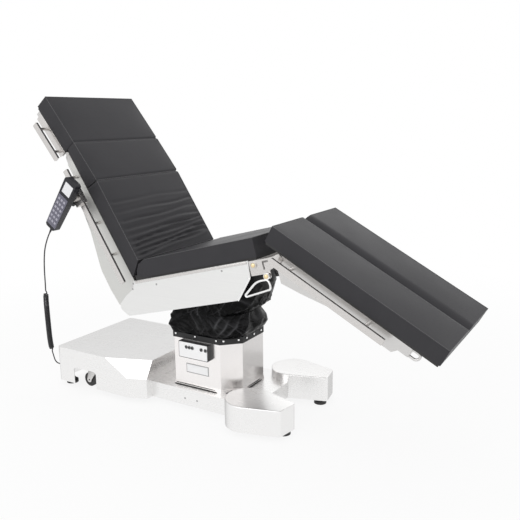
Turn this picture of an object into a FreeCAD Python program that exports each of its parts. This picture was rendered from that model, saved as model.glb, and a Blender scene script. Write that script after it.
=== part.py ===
import FreeCAD, Part
import math
import os
import Sketcher

# Operating table with a split leg end, a lower and an upper back section and a lifting, tilting
# column. Millimetres, +Z up, +X towards the foot end, -Y is the side with the hand control.
# The origin is the middle of the outline on the floor. Each section has a local frame: X runs
# along the pad, Z is the pad's outward normal and the pad's top face lies at Z = 0.

SIZES = {
    # the stand and where its column axis lies
    "stand_x": -139.8,
    "stand_y": 27.5,
    "base_clearance": 22.0,
    "cover_wall": 2.5,
    "block_head": 764.0,
    "block_foot": 254.0,
    "block_half_width": 254.0,
    "block_height": 186.0,
    "block_corner": 18.0,
    "facet_back": 206.0,
    "facet_low_back": 87.0,
    "facet_in": 76.0,
    "facet_low_in": 32.0,
    "facet_low_height": 113.0,
    "arch_front": 525.0,
    "arch_back": 662.0,
    "arch_height": 101.0,
    "arch_corner": 14.0,
    "centre_half_width": 187.0,
    "centre_length": 270.0,
    "centre_height": 94.0,
    "prong_height": 130.0,
    "prong_round_x": 250.0,
    "prong_round_y": 190.0,
    "prong_round": 98.0,
    "prong_tip_inner_x": 437.0,
    "prong_tip_inner_y": 145.0,
    "prong_tip_outer_x": 420.0,
    "prong_tip_outer_y": 243.0,
    "prong_corner": 16.0,
    "prong_edge": 4.0,
    "chassis_plate": 14.0,
    "chassis_top": 112.0,
    "spine_half_width": 120.0,
    # feet and castors
    "foot_head_x": 729.0,
    "foot_head_y": 205.0,
    "foot_front_x": 395.0,
    "foot_front_y": 165.0,
    "foot_radius": 27.0,
    "foot_thickness": 13.0,
    "foot_stem": 9.0,
    "foot_clearance": 0.05,
    "castor_head_x": 594.0,
    "castor_head_y": 190.0,
    "wheel_radius": 33.0,
    "wheel_width": 24.0,
    "wheel_lift": 0.0,
    "castor_trail": 22.0,
    "fork_plate": 4.0,
    "fork_gap": 2.0,
    "axle_radius": 4.0,
    "stem_radius": 7.0,
    "running_gap": 0.05,
    # column
    "shroud_half_x": 155.0,
    "shroud_half_y": 150.0,
    "shroud_corner": 67.0,
    "shroud_head_corner": 6.0,
    "shroud_top": 318.0,
    "shroud_wall": 2.0,
    "skirt_thickness": 3.0,
    "skirt_height": 14.0,
    "hem_low": 308.0,
    "hem_height": 28.0,
    "hem_thickness": 3.0,
    "outer_tube": 190.0,
    "outer_tube_top": 372.0,
    "tube_wall": 8.0,
    "middle_tube_low": 124.0,
    "middle_tube_top": 398.0,
    "inner_tube_low": 136.0,
    "inner_tube_top": 430.0,
    "yoke_plate": 14.0,
    "tilt_height": 530.0,
    "yoke_ear_half_width": 90.0,
    "yoke_ear_width": 56.0,
    "ear_plate": 14.0,
    "tilt_pin": 12.0,
    "cross_body": 60.0,
    "seat_ear_half_width": 72.0,
    "bellows_bulge": 20.0,
    "bellows_top": 404.0,
    "sleeve_wall": 4.0,
    "sleeve_half_y": 150.0,
    "sleeve_head": 157.0,
    "sleeve_foot": 236.0,
    "soft_gap": 0.5,
    # control box on the column
    "box_head": 108.0,
    "box_foot": 42.0,
    "box_low": 232.0,
    "box_high": 304.0,
    "box_depth": 24.0,
    "box_corner": 4.0,
    "box_face": 1.5,
    "box_face_rim": 3.0,
    "button_radius": 5.5,
    "button_length": 5.0,
    "button_proud": 2.2,
    "button_gap": 0.15,
    "button_pitch": 15.5,
    "button_first": 67.0,
    "pair_pitch": 21.0,
    "pair_first": 10.0,
    "button_height": 281.0,
    # pads and frames, common to all sections
    "pad_half_width": 270.0,
    "pad_thickness": 64.0,
    "pad_base": 10.0,
    "pad_base_inset": 5.0,
    "tray": 4.0,
    "tray_half_width": 256.0,
    "beam_height": 36.0,
    "beam_width": 24.0,
    "outer_beam": 259.0,
    "inner_beam": 231.0,
    "rail_half_width": 310.0,
    "rail_thickness": 10.0,
    "rail_height": 25.0,
    "rail_drop": 84.0,
    "spacer_radius": 6.5,
    # seat
    "seat_x": -221.0,
    "seat_z": 656.0,
    "seat_tilt": 14.6,
    "seat_length": 560.0,
    "seat_pad_thickness": 72.0,
    "seat_frame_foot": 520.0,
    "cover_half_width": 270.0,
    "cover_plate": 4.0,
    "cover_top": 80.0,
    "cover_bottom": 222.0,
    "wing_reach": 125.0,
    "nose_reach": 93.0,
    "cover_lip": 22.0,
    "slant_low": 438.0,
    "slant_mid": 513.0,
    "slant_mid_drop": 144.0,
    "cover_foot": 520.0,
    # lower back
    "back_hinge_x": -70.0,
    "back_hinge_drop": 102.0,
    "back_angle": 72.0,
    "back_hinge_d": 456.5,
    "back_hinge_n": 93.0,
    "hinge_pin": 14.0,
    "hinge_eye": 25.0,
    "lower_pad_short": 78.5,
    "lower_pad_mitre": 46.0,
    "middle_pad": 193.0,
    "middle_pad_drop": 17.0,
    "middle_pad_mitre": 8.0,
    "lower_rail_head": -106.0,
    "lower_rail_foot": 430.0,
    "wing_head": -138.0,
    "wing_plate": 4.0,
    "wing_half_width": 264.0,
    # upper back
    "neck_hinge_d": -163.0,
    "neck_hinge_n": 94.0,
    "neck_angle": -5.9,
    "neck_own_d": 261.0,
    "neck_own_n": 79.4,
    "neck_pin": 8.0,
    "neck_eye": 14.0,
    "upper_pad": 238.0,
    "upper_rail_head": 68.0,
    "upper_rail_foot": 255.0,
    # legs
    "leg_hinge_x": 646.0,
    "leg_hinge_drop": 93.0,
    "leg_angle": 43.0,
    "leg_own_d": 78.0,
    "leg_own_n": 92.0,
    "leg_shaft": 9.0,
    "leg_eye": 17.0,
    "leg_pad_head": 3.0,
    "leg_pad_foot": 739.0,
    "leg_split": 2.0,
    "leg_frame_foot": 640.0,
    "leg_rail_head": 68.0,
    "leg_rail_foot": 553.0,
    "bracket_plate": 7.0,
    "bracket_head": 521.0,
    "bracket_bottom": 139.0,
    "bracket_clearance": 1.0,
    "lever_pin_x": 590.0,
    "lever_pin_drop": 147.0,
    "lever_wire": 4.0,
    "handle_wire": 5.0,
    # hand control
    "knob_gap": 0.3,
    "clamp_head": -6.0,
    "clamp_foot": 58.0,
    "clamp_low": 120.0,
    "clamp_high": 76.0,
    "clamp_half_width": 322.0,
    "handset_length": 250.0,
    "handset_width": 70.0,
    "handset_depth": 30.0,
    "handset_corner": 12.0,
    "handset_lean": 36.0,
    "handset_x": -551.5,
    "handset_y": -350.0,
    "handset_z": 874.0,
    "cord_diameter": 5.5,
    "coil_diameter": 24.0,
}


class Size:
    """A number with the sheet formula behind it, so that a property can be bound to it."""

    def __init__(self, number, formula=None):
        self.number = float(number)
        self.formula = formula or "(%r)" % float(number)

    def joined(self, other, sign, number):
        return Size(number, "(%s %s %s)" % (self.formula, sign, other.formula))

    def __add__(self, other):
        other = sized(other)
        return self.joined(other, "+", self.number + other.number)

    def __sub__(self, other):
        other = sized(other)
        return self.joined(other, "-", self.number - other.number)

    def __mul__(self, other):
        other = sized(other)
        return self.joined(other, "*", self.number * other.number)

    def __truediv__(self, other):
        other = sized(other)
        return self.joined(other, "/", self.number / other.number)

    def __radd__(self, other):
        return sized(other) + self

    def __rsub__(self, other):
        return sized(other) - self

    def __rmul__(self, other):
        return sized(other) * self

    def __neg__(self):
        return Size(-self.number, "(-%s)" % self.formula)

    def __float__(self):
        return self.number


def sized(value):
    return value if isinstance(value, Size) else Size(value)


doc = FreeCAD.newDocument("operating_table")
sheet = doc.addObject("Spreadsheet::Sheet", "sizes")
for row, (alias, number) in enumerate(SIZES.items(), start=1):
    sheet.set("A%d" % row, alias)
    sheet.set("B%d" % row, str(number))
    sheet.setAlias("B%d" % row, alias)
doc.recompute()


def cell(alias):
    """A driving dimension, read from the sheet."""
    return Size(sheet.get(alias), "sizes." + alias)


V = FreeCAD.Vector
NO_TURN = FreeCAD.Rotation()
nodes = {}


def node(name, piece, place=None):
    """Names a finished piece and puts it into its section's place."""
    piece.Label = name
    if place is not None:
        piece.Placement = place.multiply(piece.Placement)
    nodes[name] = piece
    return piece


def bind(piece, prop, value):
    piece.setExpression(prop, sized(value).formula)


def bind_base(piece, x, y, z):
    piece.Placement.Base = V(float(x), float(y), float(z))
    for axis, value in zip("xyz", (x, y, z)):
        bind(piece, "Placement.Base." + axis, value)


def box(name, xs, ys, zs):
    """A block between two values on each axis."""
    piece = doc.addObject("Part::Box", name)
    for prop, span in zip(("Length", "Width", "Height"), (xs, ys, zs)):
        bind(piece, prop, sized(span[1]) - span[0])
    bind_base(piece, xs[0], ys[0], zs[0])
    return piece


TURN_TO = {
    "x": FreeCAD.Rotation(V(0, 1, 0), 90),
    "y": FreeCAD.Rotation(V(1, 0, 0), -90),
    "z": NO_TURN,
}


def rod(name, direction, start, length, radius):
    """A cylinder that starts at a point and runs along +X, +Y or +Z."""
    piece = doc.addObject("Part::Cylinder", name)
    piece.Placement = FreeCAD.Placement(V(0, 0, 0), TURN_TO[direction])
    bind(piece, "Radius", radius)
    bind(piece, "Height", length)
    bind_base(piece, *start)
    return piece


def fuse(name, pieces):
    piece = doc.addObject("Part::MultiFuse", name)
    piece.Shapes = pieces
    piece.Refine = True
    return piece


def cut(name, base, tools):
    piece = doc.addObject("Part::Cut", name)
    piece.Base = base
    piece.Tool = tools[0] if len(tools) == 1 else fuse(name + "_tools", tools)
    piece.Refine = True
    return piece


def common(name, first, second):
    piece = doc.addObject("Part::Common", name)
    piece.Base = first
    piece.Tool = second
    return piece


def mirrored(name, source, middle=0.0):
    """The same piece on the other side of the plane Y = middle."""
    piece = doc.addObject("Part::Mirroring", name)
    piece.Source = source
    piece.Normal = V(0, 1, 0)
    piece.Base = V(0, float(middle), 0)
    return piece


def both_sides(name, piece):
    """One group with the piece and its mirror image, both in the section's frame."""
    return fuse(name, [piece, mirrored(name + "_other", piece)])


PLANES = {"side": ("XZ_Plane", True), "plan": ("XY_Plane", False), "end": ("YZ_Plane", False)}


def draw_outline(sketch, corners):
    """A closed outline of straight edges whose corners are bound to the sheet."""
    points = [V(float(u), float(v), 0) for u, v in corners]
    for index, point in enumerate(points):
        sketch.addGeometry(Part.LineSegment(point, points[(index + 1) % len(points)]), False)
    for index, (u, v) in enumerate(corners):
        before = (index - 1) % len(points)
        sketch.addConstraint(Sketcher.Constraint("Coincident", before, 2, index, 1))
    for index, (u, v) in enumerate(corners):
        for kind, value in (("DistanceX", u), ("DistanceY", v)):
            number = sketch.addConstraint(Sketcher.Constraint(kind, index, 1, float(value)))
            sketch.setExpression("Constraints[%d]" % number, sized(value).formula)


def draw_circle(sketch, centre, radius):
    circle = Part.Circle(V(float(centre[0]), float(centre[1]), 0), V(0, 0, 1), float(radius))
    number = sketch.addGeometry(circle, False)
    for kind, value in (("DistanceX", centre[0]), ("DistanceY", centre[1])):
        row = sketch.addConstraint(Sketcher.Constraint(kind, number, 3, float(value)))
        sketch.setExpression("Constraints[%d]" % row, sized(value).formula)
    row = sketch.addConstraint(Sketcher.Constraint("Radius", number, float(radius)))
    sketch.setExpression("Constraints[%d]" % row, sized(radius).formula)


class Profile:
    """A body made from outlines on one plane: pads, discs, holes and rounded corners."""

    def __init__(self, name, view, low, high):
        self.name = name
        self.view = view
        self.low = sized(low)
        self.high = sized(high)
        self.body = doc.addObject("PartDesign::Body", name)
        self.count = 0

    def sketch(self):
        self.count += 1
        plane, flipped = PLANES[self.view]
        sketch = self.body.newObject("Sketcher::SketchObject", "%s_sketch%d" % (self.name, self.count))
        origin = [item for item in self.body.Origin.OriginFeatures if item.Role == plane]
        sketch.AttachmentSupport = [(origin[0], "")]
        sketch.MapMode = "FlatFace"
        offset = -self.low if flipped else self.low
        sketch.AttachmentOffset.Base = V(0, 0, float(offset))
        sketch.setExpression("AttachmentOffset.Base.z", offset.formula)
        return sketch

    def pad(self, sketch):
        feature = self.body.newObject("PartDesign::Pad", "%s_pad%d" % (self.name, self.count))
        feature.Profile = sketch
        feature.Reversed = PLANES[self.view][1]
        bind(feature, "Length", self.high - self.low)
        return feature

    def outline(self, corners):
        sketch = self.sketch()
        draw_outline(sketch, corners)
        self.pad(sketch)
        return self

    def disc(self, centre, radius):
        sketch = self.sketch()
        draw_circle(sketch, centre, radius)
        self.pad(sketch)
        return self

    def pocket(self, sketch):
        feature = self.body.newObject("PartDesign::Pocket", "%s_pocket%d" % (self.name, self.count))
        feature.Profile = sketch
        feature.Type = "ThroughAll"
        feature.Midplane = True
        return self

    def hole(self, centre, radius):
        sketch = self.sketch()
        draw_circle(sketch, centre, radius)
        return self.pocket(sketch)

    def window(self, corners):
        sketch = self.sketch()
        draw_outline(sketch, corners)
        return self.pocket(sketch)

    def across(self, point):
        """Where a corner of the outline lies in the body's frame."""
        u, v = float(point[0]), float(point[1])
        low = float(self.low)
        return {"side": V(u, low, v), "plan": V(u, v, low), "end": V(low, u, v)}[self.view]

    def round(self, corners, radius):
        """Rounds the edges that run through the plate at the given corners."""
        doc.recompute()
        tip = self.body.Tip
        names = []
        for corner in corners:
            spot = self.across(corner)
            for number, edge in enumerate(tip.Shape.Edges, start=1):
                ends = [vertex.Point for vertex in edge.Vertexes]
                along = {"side": 1, "plan": 2, "end": 0}[self.view]
                if len(ends) == 2 and min((end - spot).Length for end in ends) < 0.01:
                    run = ends[1] - ends[0]
                    if abs(run[along]) > 0.999 * run.Length:
                        names.append("Edge%d" % number)
        self.count += 1
        feature = self.body.newObject("PartDesign::Fillet", "%s_fillet%d" % (self.name, self.count))
        feature.Base = (tip, names)
        bind(feature, "Radius", radius)
        doc.recompute()
        return self


def route_wire(points, closed=False):
    """Straight runs joined by tangent arcs, each as large as its two runs allow."""
    count = len(points)
    picks = range(count) if closed else range(1, count - 1)
    entries, exits, arcs, radii = {}, {}, {}, []
    for index in picks:
        before, here, after = points[index - 1], points[index], points[(index + 1) % count]
        back, ahead = before - here, after - here
        turn = math.pi - back.getAngle(ahead)
        short = 0.45 * min(back.Length, ahead.Length)
        radii.append(short / math.tan(turn / 2))
        back.normalize()
        ahead.normalize()
        entries[index] = here + back * short
        exits[index] = here + ahead * short
        bisector = back + ahead
        bisector.normalize()
        reach = radii[-1] / math.cos(turn / 2) - radii[-1]
        arcs[index] = Part.Arc(entries[index], here + bisector * reach, exits[index]).toShape()
    edges = []
    for index in range(count if closed else count - 1):
        after = (index + 1) % count
        start = exits.get(index, points[index])
        end = entries.get(after, points[after])
        edges.append(Part.LineSegment(start, end).toShape())
        if after in arcs:
            edges.append(arcs[after])
    return Part.Wire(edges), radii


def bent_wire(name, points, radius, closed=False):
    """A round bar bent along a route."""
    wire, radii = route_wire(points, closed)
    first = wire.Edges[0]
    start = first.valueAt(first.FirstParameter)
    ring = Part.Wire(Part.Circle(start, first.tangentAt(first.FirstParameter), float(radius)).toShape())
    solid = wire.makePipeShell([ring], True, False)
    piece = doc.addObject("Part::Feature", name)
    piece.Shape = solid
    expected = math.pi * float(radius) ** 2 * wire.Length
    print("%s: length %.0f, volume ratio %.4f, radii %s"
          % (name, wire.Length, solid.Volume / expected, [round(value) for value in radii]))
    return piece


def hinged(parent, at, angle, own):
    """The place of a section that turns about a hinge; both ends are in local coordinates."""
    turn = FreeCAD.Placement(at, FreeCAD.Rotation(V(0, 1, 0), angle))
    return parent.multiply(turn).multiply(FreeCAD.Placement(own.negative(), NO_TURN))


# places of the stand and of each section
stand = FreeCAD.Placement(V(float(cell("stand_x")), float(cell("stand_y")), 0), NO_TURN)
seat_turn = FreeCAD.Rotation(V(0, 1, 0), -float(cell("seat_tilt")))
seat_place = stand.multiply(
    FreeCAD.Placement(V(float(cell("seat_x")), 0, float(cell("seat_z"))), seat_turn))
back_hinge = V(float(cell("back_hinge_x")), 0, -float(cell("back_hinge_drop")))
back_own = V(float(cell("back_hinge_d")), 0, -float(cell("back_hinge_n")))
back_place = hinged(seat_place, back_hinge, float(cell("back_angle")), back_own)
neck_hinge = V(float(cell("neck_hinge_d")), 0, -float(cell("neck_hinge_n")))
neck_own = V(float(cell("neck_own_d")), 0, -float(cell("neck_own_n")))
neck_place = hinged(back_place, neck_hinge, float(cell("neck_angle")), neck_own)
leg_hinge = V(float(cell("leg_hinge_x")), 0, -float(cell("leg_hinge_drop")))
leg_own = V(float(cell("leg_own_d")), 0, -float(cell("leg_own_n")))
leg_place = hinged(seat_place, leg_hinge, float(cell("leg_angle")), leg_own)
tilt_centre = stand.multVec(V(0, 0, float(cell("tilt_height"))))
tilt_local = seat_place.inverse().multVec(tilt_centre)


def print_axis(name, point, direction=V(0, 1, 0)):
    print("axis %s %.3f %.3f %.3f dir %.5f %.5f %.5f"
          % (name, point.x, point.y, point.z, direction.x, direction.y, direction.z))


# the base block and its covers

def make_base_cover():
    """Sheet cover of the block at the head end: open below, with a sloped facet at each foot-side
    corner and an arch over each castor."""
    wall = cell("cover_wall")
    head, foot, half = cell("block_head"), cell("block_foot"), cell("block_half_width")
    floor, top = cell("base_clearance"), cell("block_height")
    low_back, low_in = cell("facet_low_back"), cell("facet_low_in")

    def shell_profile(name, inset, low, high):
        far, near, side = -head + inset, -foot - inset, half - inset
        slope = low_back + inset * 0.4
        depth = low_in + inset * 0.4
        corners = [(far, -side), (near - slope, -side), (near, -side + depth),
                   (near, side - depth), (near - slope, side), (far, side)]
        profile = Profile(name, "plan", low, high).outline(corners)
        return profile.round([corners[0], corners[5]], cell("block_corner") - inset)

    outer = shell_profile("block_outer", sized(0), floor, top).body
    inner = shell_profile("block_inner", wall, floor - 1, top - wall).body

    def facet(name, inset, hand):
        """A block whose lower face lies on the sloped facet, set in by the wall."""
        base_x, base_y = float(-foot), hand * float(half)
        upper = V(base_x - float(cell("facet_back")), base_y, float(top))
        lower = V(base_x - float(low_back), base_y, float(cell("facet_low_height")))
        inside = V(base_x, base_y - hand * float(cell("facet_in")), float(top))
        normal = (lower - upper).cross(inside - upper)
        if normal.z < 0:
            normal = normal.negative()
        normal.normalize()
        reach = 4 * float(cell("facet_back"))
        piece = doc.addObject("Part::Box", name)
        piece.Length = piece.Width = reach
        piece.Height = reach / 4
        turn = FreeCAD.Rotation(V(0, 0, 1), normal)
        middle = turn.multVec(V(-reach / 2, -reach / 2, 0))
        piece.Placement = FreeCAD.Placement(upper + middle - normal * float(inset), turn)
        return piece

    outer_cut = cut("block_outer_cut", outer, [facet("facet_a", 0, -1), facet("facet_b", 0, 1)])
    inner_cut = cut("block_inner_cut", inner, [facet("facet_c", wall, -1), facet("facet_d", wall, 1)])
    arch_low, arch_high = -cell("arch_back"), -cell("arch_front")
    arch_corners = [(arch_low, floor - 2), (arch_high, floor - 2),
                    (arch_high, cell("arch_height")), (arch_low, cell("arch_height"))]
    arch = Profile("wheel_arch", "side", -half - 5, half + 5).outline(arch_corners)
    arch.round(arch_corners[2:], cell("arch_corner"))
    passage = box("centre_passage", (-foot - 2 * wall, -foot + 2),
                  (-cell("centre_half_width"), cell("centre_half_width")),
                  (floor - 2, cell("centre_height")))
    gland_hole = rod("gland_hole", "x", (-head - 2, GLAND_Y, GLAND_Z), 12, GLAND_RADIUS)
    return node("base_cover", cut("base_cover_cut", outer_cut, [inner_cut, arch.body, passage, gland_hole]),
                stand)


GLAND_RADIUS = 8.0
GLAND_Y = -144.0
GLAND_Z = 62.0


def prong_profile(name, inset, low, high, hand):
    """Plan form of a front foot: a round over the castor and a tapering toe."""
    inset = sized(inset)
    side = hand
    centre = (cell("prong_round_x"), side * cell("prong_round_y"))
    radius = cell("prong_round") - inset
    inner_tip = (cell("prong_tip_inner_x") - inset, side * (cell("prong_tip_inner_y") + inset))
    outer_tip = (cell("prong_tip_outer_x") - inset, side * (cell("prong_tip_outer_y") - inset))

    def tangent_point(tip, inward):
        run = V(float(tip[0]) - float(centre[0]), float(tip[1]) - float(centre[1]), 0)
        lean = math.acos(float(radius) / run.Length)
        angle = math.atan2(run.y, run.x) + side * inward * lean
        return (float(centre[0]) + float(radius) * math.cos(angle),
                float(centre[1]) + float(radius) * math.sin(angle))

    corners = [tangent_point(inner_tip, -1), inner_tip, outer_tip, tangent_point(outer_tip, 1)]
    profile = Profile(name, "plan", low, high).outline(corners)
    profile.disc(centre, radius)
    return profile.round(corners[1:3], cell("prong_corner") - inset)


def top_edges(shape, height):
    """Edges that lie in the plane at the given height."""
    return [number for number, edge in enumerate(shape.Edges, start=1)
            if abs(edge.BoundBox.ZMin - height) < 0.01 and abs(edge.BoundBox.ZMax - height) < 0.01]


def softened(name, source, height, radius):
    """Rounds the rim of the face at the given height."""
    doc.recompute()
    piece = doc.addObject("Part::Fillet", name)
    piece.Base = source
    piece.Edges = [(number, float(radius), float(radius))
                   for number in top_edges(source.Shape, float(height))]
    return piece


def make_foot_cover(name, hand):
    top, floor, wall = cell("prong_height"), cell("base_clearance"), cell("cover_wall")
    outer = prong_profile(name + "_outer", 0, floor, top, hand).body
    soft = softened(name + "_soft", outer, top, cell("prong_edge"))
    inner = prong_profile(name + "_inner", wall, floor - 1, top - wall, hand).body
    passage = box(name + "_passage", (0, cell("centre_length") - 6),
                  (-cell("centre_half_width") + 3 * wall, cell("centre_half_width") - 3 * wall),
                  (floor - 2, cell("centre_height") - wall))
    return node(name, cut(name + "_cut", soft, [inner, passage]), stand)


def make_centre_cover():
    """Low cover between the block and the feet, notched round both feet and the column."""
    wall, floor, top = cell("cover_wall"), cell("base_clearance"), cell("centre_height")
    half, foot, length = cell("centre_half_width"), cell("block_foot"), cell("centre_length")
    gap = 0.4
    outer = box("centre_outer", (-foot + gap, length), (-half, half), (floor, top))
    inner = box("centre_inner", (-foot - 1, length - wall), (-half + wall, half - wall),
                (floor - 1, top - wall))
    notches = [prong_profile("notch_%d" % index, -gap, floor - 2, top + 5, hand).body
               for index, hand in enumerate((-1, 1))]
    tube = cell("outer_tube") / 2 + 6
    hole = box("column_hole", (-tube, tube), (-tube, tube), (top - 2 * wall, top + 2))
    return node("centre_cover", cut("centre_cover_cut", outer, [inner, hole] + notches), stand)


def foot_spots():
    """Floor feet: two under the block, two at the toes of the front feet."""
    return [(-cell("foot_head_x"), -cell("foot_head_y")), (-cell("foot_head_x"), cell("foot_head_y")),
            (cell("foot_front_x"), -cell("foot_front_y")), (cell("foot_front_x"), cell("foot_front_y"))]


def castor_spots():
    """Castor swivel axes: two in the block's arches, two in the rounds of the front feet."""
    round_x, round_y = cell("prong_round_x"), cell("prong_round_y")
    return {"head_right": (-cell("castor_head_x"), -cell("castor_head_y")),
            "head_left": (-cell("castor_head_x"), cell("castor_head_y")),
            "foot_right": (round_x, -round_y), "foot_left": (round_x, round_y)}


def make_chassis():
    """Welded plate frame under the covers: head plate, spine, front arms, feet and castor seats."""
    top, plate = cell("chassis_top"), cell("chassis_plate")
    spine, wall = cell("spine_half_width"), cell("cover_wall")
    under = cell("centre_height") - wall
    reach, arm_low = cell("prong_round_x"), cell("centre_height") - wall - plate
    head = box("head_plate", (-cell("block_head") + 8, -cell("block_foot") - 100),
               (-cell("block_half_width") + 8, cell("block_half_width") - 8), (top - plate, top))
    beam = box("spine", (-cell("block_foot") - 180, cell("prong_round_x")), (-spine, spine),
               (under - 3 * plate, under))
    riser = box("riser", (-cell("block_foot") - 180, -cell("block_foot") - 102), (-spine, spine),
                (under - plate, top))
    pieces = [head, beam, riser]
    for index, (x, y) in enumerate(((700, 150), (700, -150), (450, 150), (450, -150))):
        rise = cell("block_height") - wall - top + 1
        pieces.append(rod("post_%d" % index, "z", (-x, y, top - 1), rise, 9))
    for index, hand in enumerate((-1, 1)):
        side = sorted((hand * (spine - 10), hand * cell("prong_round_y")), key=float)
        pieces.append(box("arm_%d" % index, (reach - 34, reach + 10), side, (arm_low, under)))
        pieces.append(rod("arm_tower_%d" % index, "z", (reach, hand * cell("prong_round_y"), arm_low),
                          cell("prong_height") - wall - arm_low, cell("stem_radius") * 3))
        toe_y = hand * cell("foot_front_y")
        pieces.append(box("toe_%d" % index, (cell("prong_round_x"), cell("foot_front_x") + 16),
                          (toe_y - 16, toe_y + 16), (top - plate, top + plate / 2)))
    holes = []
    for index, (x, y) in enumerate(foot_spots()):
        pieces.append(rod("foot_boss_%d" % index, "z", (x, y, top - 3 * plate), 3 * plate,
                          cell("foot_stem") + 6))
        holes.append(rod("foot_bore_%d" % index, "z", (x, y, 0), top + 2 * plate,
                         cell("foot_stem") + cell("foot_clearance")))
    for name, (x, y) in castor_spots().items():
        holes.append(rod("castor_bore_" + name, "z", (x, y, 0), top + 2 * plate,
                         cell("stem_radius") + cell("running_gap")))
    return node("base_chassis", cut("base_chassis_cut", fuse("chassis_sum", pieces), holes), stand)


def make_floor_feet():
    """Four rubber feet on steel stems that screw out of the chassis."""
    feet = []
    radius, thick, stem = cell("foot_radius"), cell("foot_thickness"), cell("foot_stem")
    for index, (x, y) in enumerate(foot_spots()):
        pad = rod("foot_pad_%d" % index, "z", (x, y, 0), thick, radius)
        cone = doc.addObject("Part::Cone", "foot_cone_%d" % index)
        bind(cone, "Radius1", radius - 3)
        bind(cone, "Radius2", stem + 3)
        bind(cone, "Height", thick)
        bind_base(cone, x, y, thick)
        shaft = rod("foot_shaft_%d" % index, "z", (x, y, thick), cell("chassis_top") - thick, stem)
        feet.append(fuse("foot_%d" % index, [pad, cone, shaft]))
    return node("floor_feet", fuse("floor_feet_group", feet), stand)


def make_castor(name, spot):
    """A swivel fork with its stem, and the wheel on its axle."""
    x, y = spot
    wheel, lift, trail = cell("wheel_radius"), cell("wheel_lift"), cell("castor_trail")
    width, plate, gap = cell("wheel_width"), cell("fork_plate"), cell("fork_gap")
    axle_x, axle_z = x - trail, wheel + lift
    half = width / 2 + gap
    crown = 2 * wheel + lift + 4
    cheeks = []
    for index, hand in enumerate((-1, 1)):
        side = sorted((y + hand * half, y + hand * (half + plate)), key=float)
        cheek = Profile("cheek_%s_%d" % (name, index), "side", side[0], side[1])
        cheek.outline([(axle_x - 13, axle_z), (axle_x + 13, axle_z), (x + 18, crown), (x - 26, crown)])
        cheek.disc((axle_x, axle_z), 13)
        cheek.hole((axle_x, axle_z), cell("axle_radius") + cell("running_gap"))
        cheeks.append(cheek.body)
    bridge = box("crown_" + name, (x - 26, x + 18), (y - half - plate, y + half + plate),
                 (crown, crown + plate))
    collar = rod("collar_" + name, "z", (x, y, crown + plate),
                 cell("chassis_top") - cell("chassis_plate") - crown - plate - 0.5, 14) \
        if name.startswith("head") else rod("collar_" + name, "z", (x, y, crown + plate), 2, 14)
    stem = rod("stem_" + name, "z", (x, y, crown), cell("chassis_top") - crown, cell("stem_radius"))
    node("castor_fork_" + name, fuse("castor_fork_sum_" + name, cheeks + [bridge, collar, stem]), stand)
    tyre = rod("tyre_" + name, "y", (axle_x, y - width / 2, axle_z), width, wheel)
    axle = rod("axle_" + name, "y", (axle_x, y - half - plate, axle_z), 2 * (half + plate),
               cell("axle_radius"))
    node("castor_wheel_" + name, fuse("castor_wheel_sum_" + name, [tyre, axle]), stand)
    print_axis("swivel_" + name, stand.multVec(V(float(x), float(y), 0)), V(0, 0, 1))
    print_axis("wheel_" + name, stand.multVec(V(float(axle_x), float(y), float(axle_z))))


# the column

def column_plan(half_x, half_y, corner, head_corner):
    """Plan form of the column: a rectangle with wide corners cut off at the foot end only."""
    return [(half_x, -half_y + corner), (half_x, half_y - corner), (half_x - corner, half_y),
            (-half_x + head_corner, half_y), (-half_x, half_y - head_corner),
            (-half_x, -half_y + head_corner), (-half_x + head_corner, -half_y),
            (half_x - corner, -half_y)]


def ring_wall(name, out, wall, low, high):
    """A tube of the column's plan that stands out from the shroud by a given distance."""
    half_x, half_y = cell("shroud_half_x") + out, cell("shroud_half_y") + out
    corner = cell("shroud_corner") + out * 0.59
    head_corner = cell("shroud_head_corner")
    inner_corner = corner - wall * 0.59
    outer = Profile(name + "_outer", "plan", low, high)
    outer.outline(column_plan(half_x, half_y, corner, head_corner))
    inner = Profile(name + "_inner", "plan", low - 1, high + 1)
    inner.outline(column_plan(half_x - wall, half_y - wall, inner_corner, head_corner))
    return cut(name + "_wall", outer.body, [inner.body])


def make_shroud():
    """Stainless shroud of the column with a low double skirt round its foot."""
    low, top, wall = cell("centre_height"), cell("shroud_top"), cell("shroud_wall")
    body = ring_wall("shroud", sized(0), wall, low, top)
    step = cell("skirt_height") / 2
    skirt = ring_wall("skirt_low", cell("skirt_thickness"), cell("skirt_thickness") + wall, low, low + step)
    half_out = cell("skirt_thickness") / 2
    upper = ring_wall("skirt_high", half_out, half_out + wall, low, low + 2 * step)
    return node("column_shroud", fuse("column_shroud_sum", [body, skirt, upper]), stand)


def square_tube(name, width, wall, low, high):
    half = width / 2
    outer = box(name + "_outer", (-half, half), (-half, half), (low, high))
    clear = half - wall
    inner = box(name + "_inner", (-clear, clear), (-clear, clear), (low - 1, high + 1))
    return cut(name + "_tube", outer, [inner])


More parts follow.
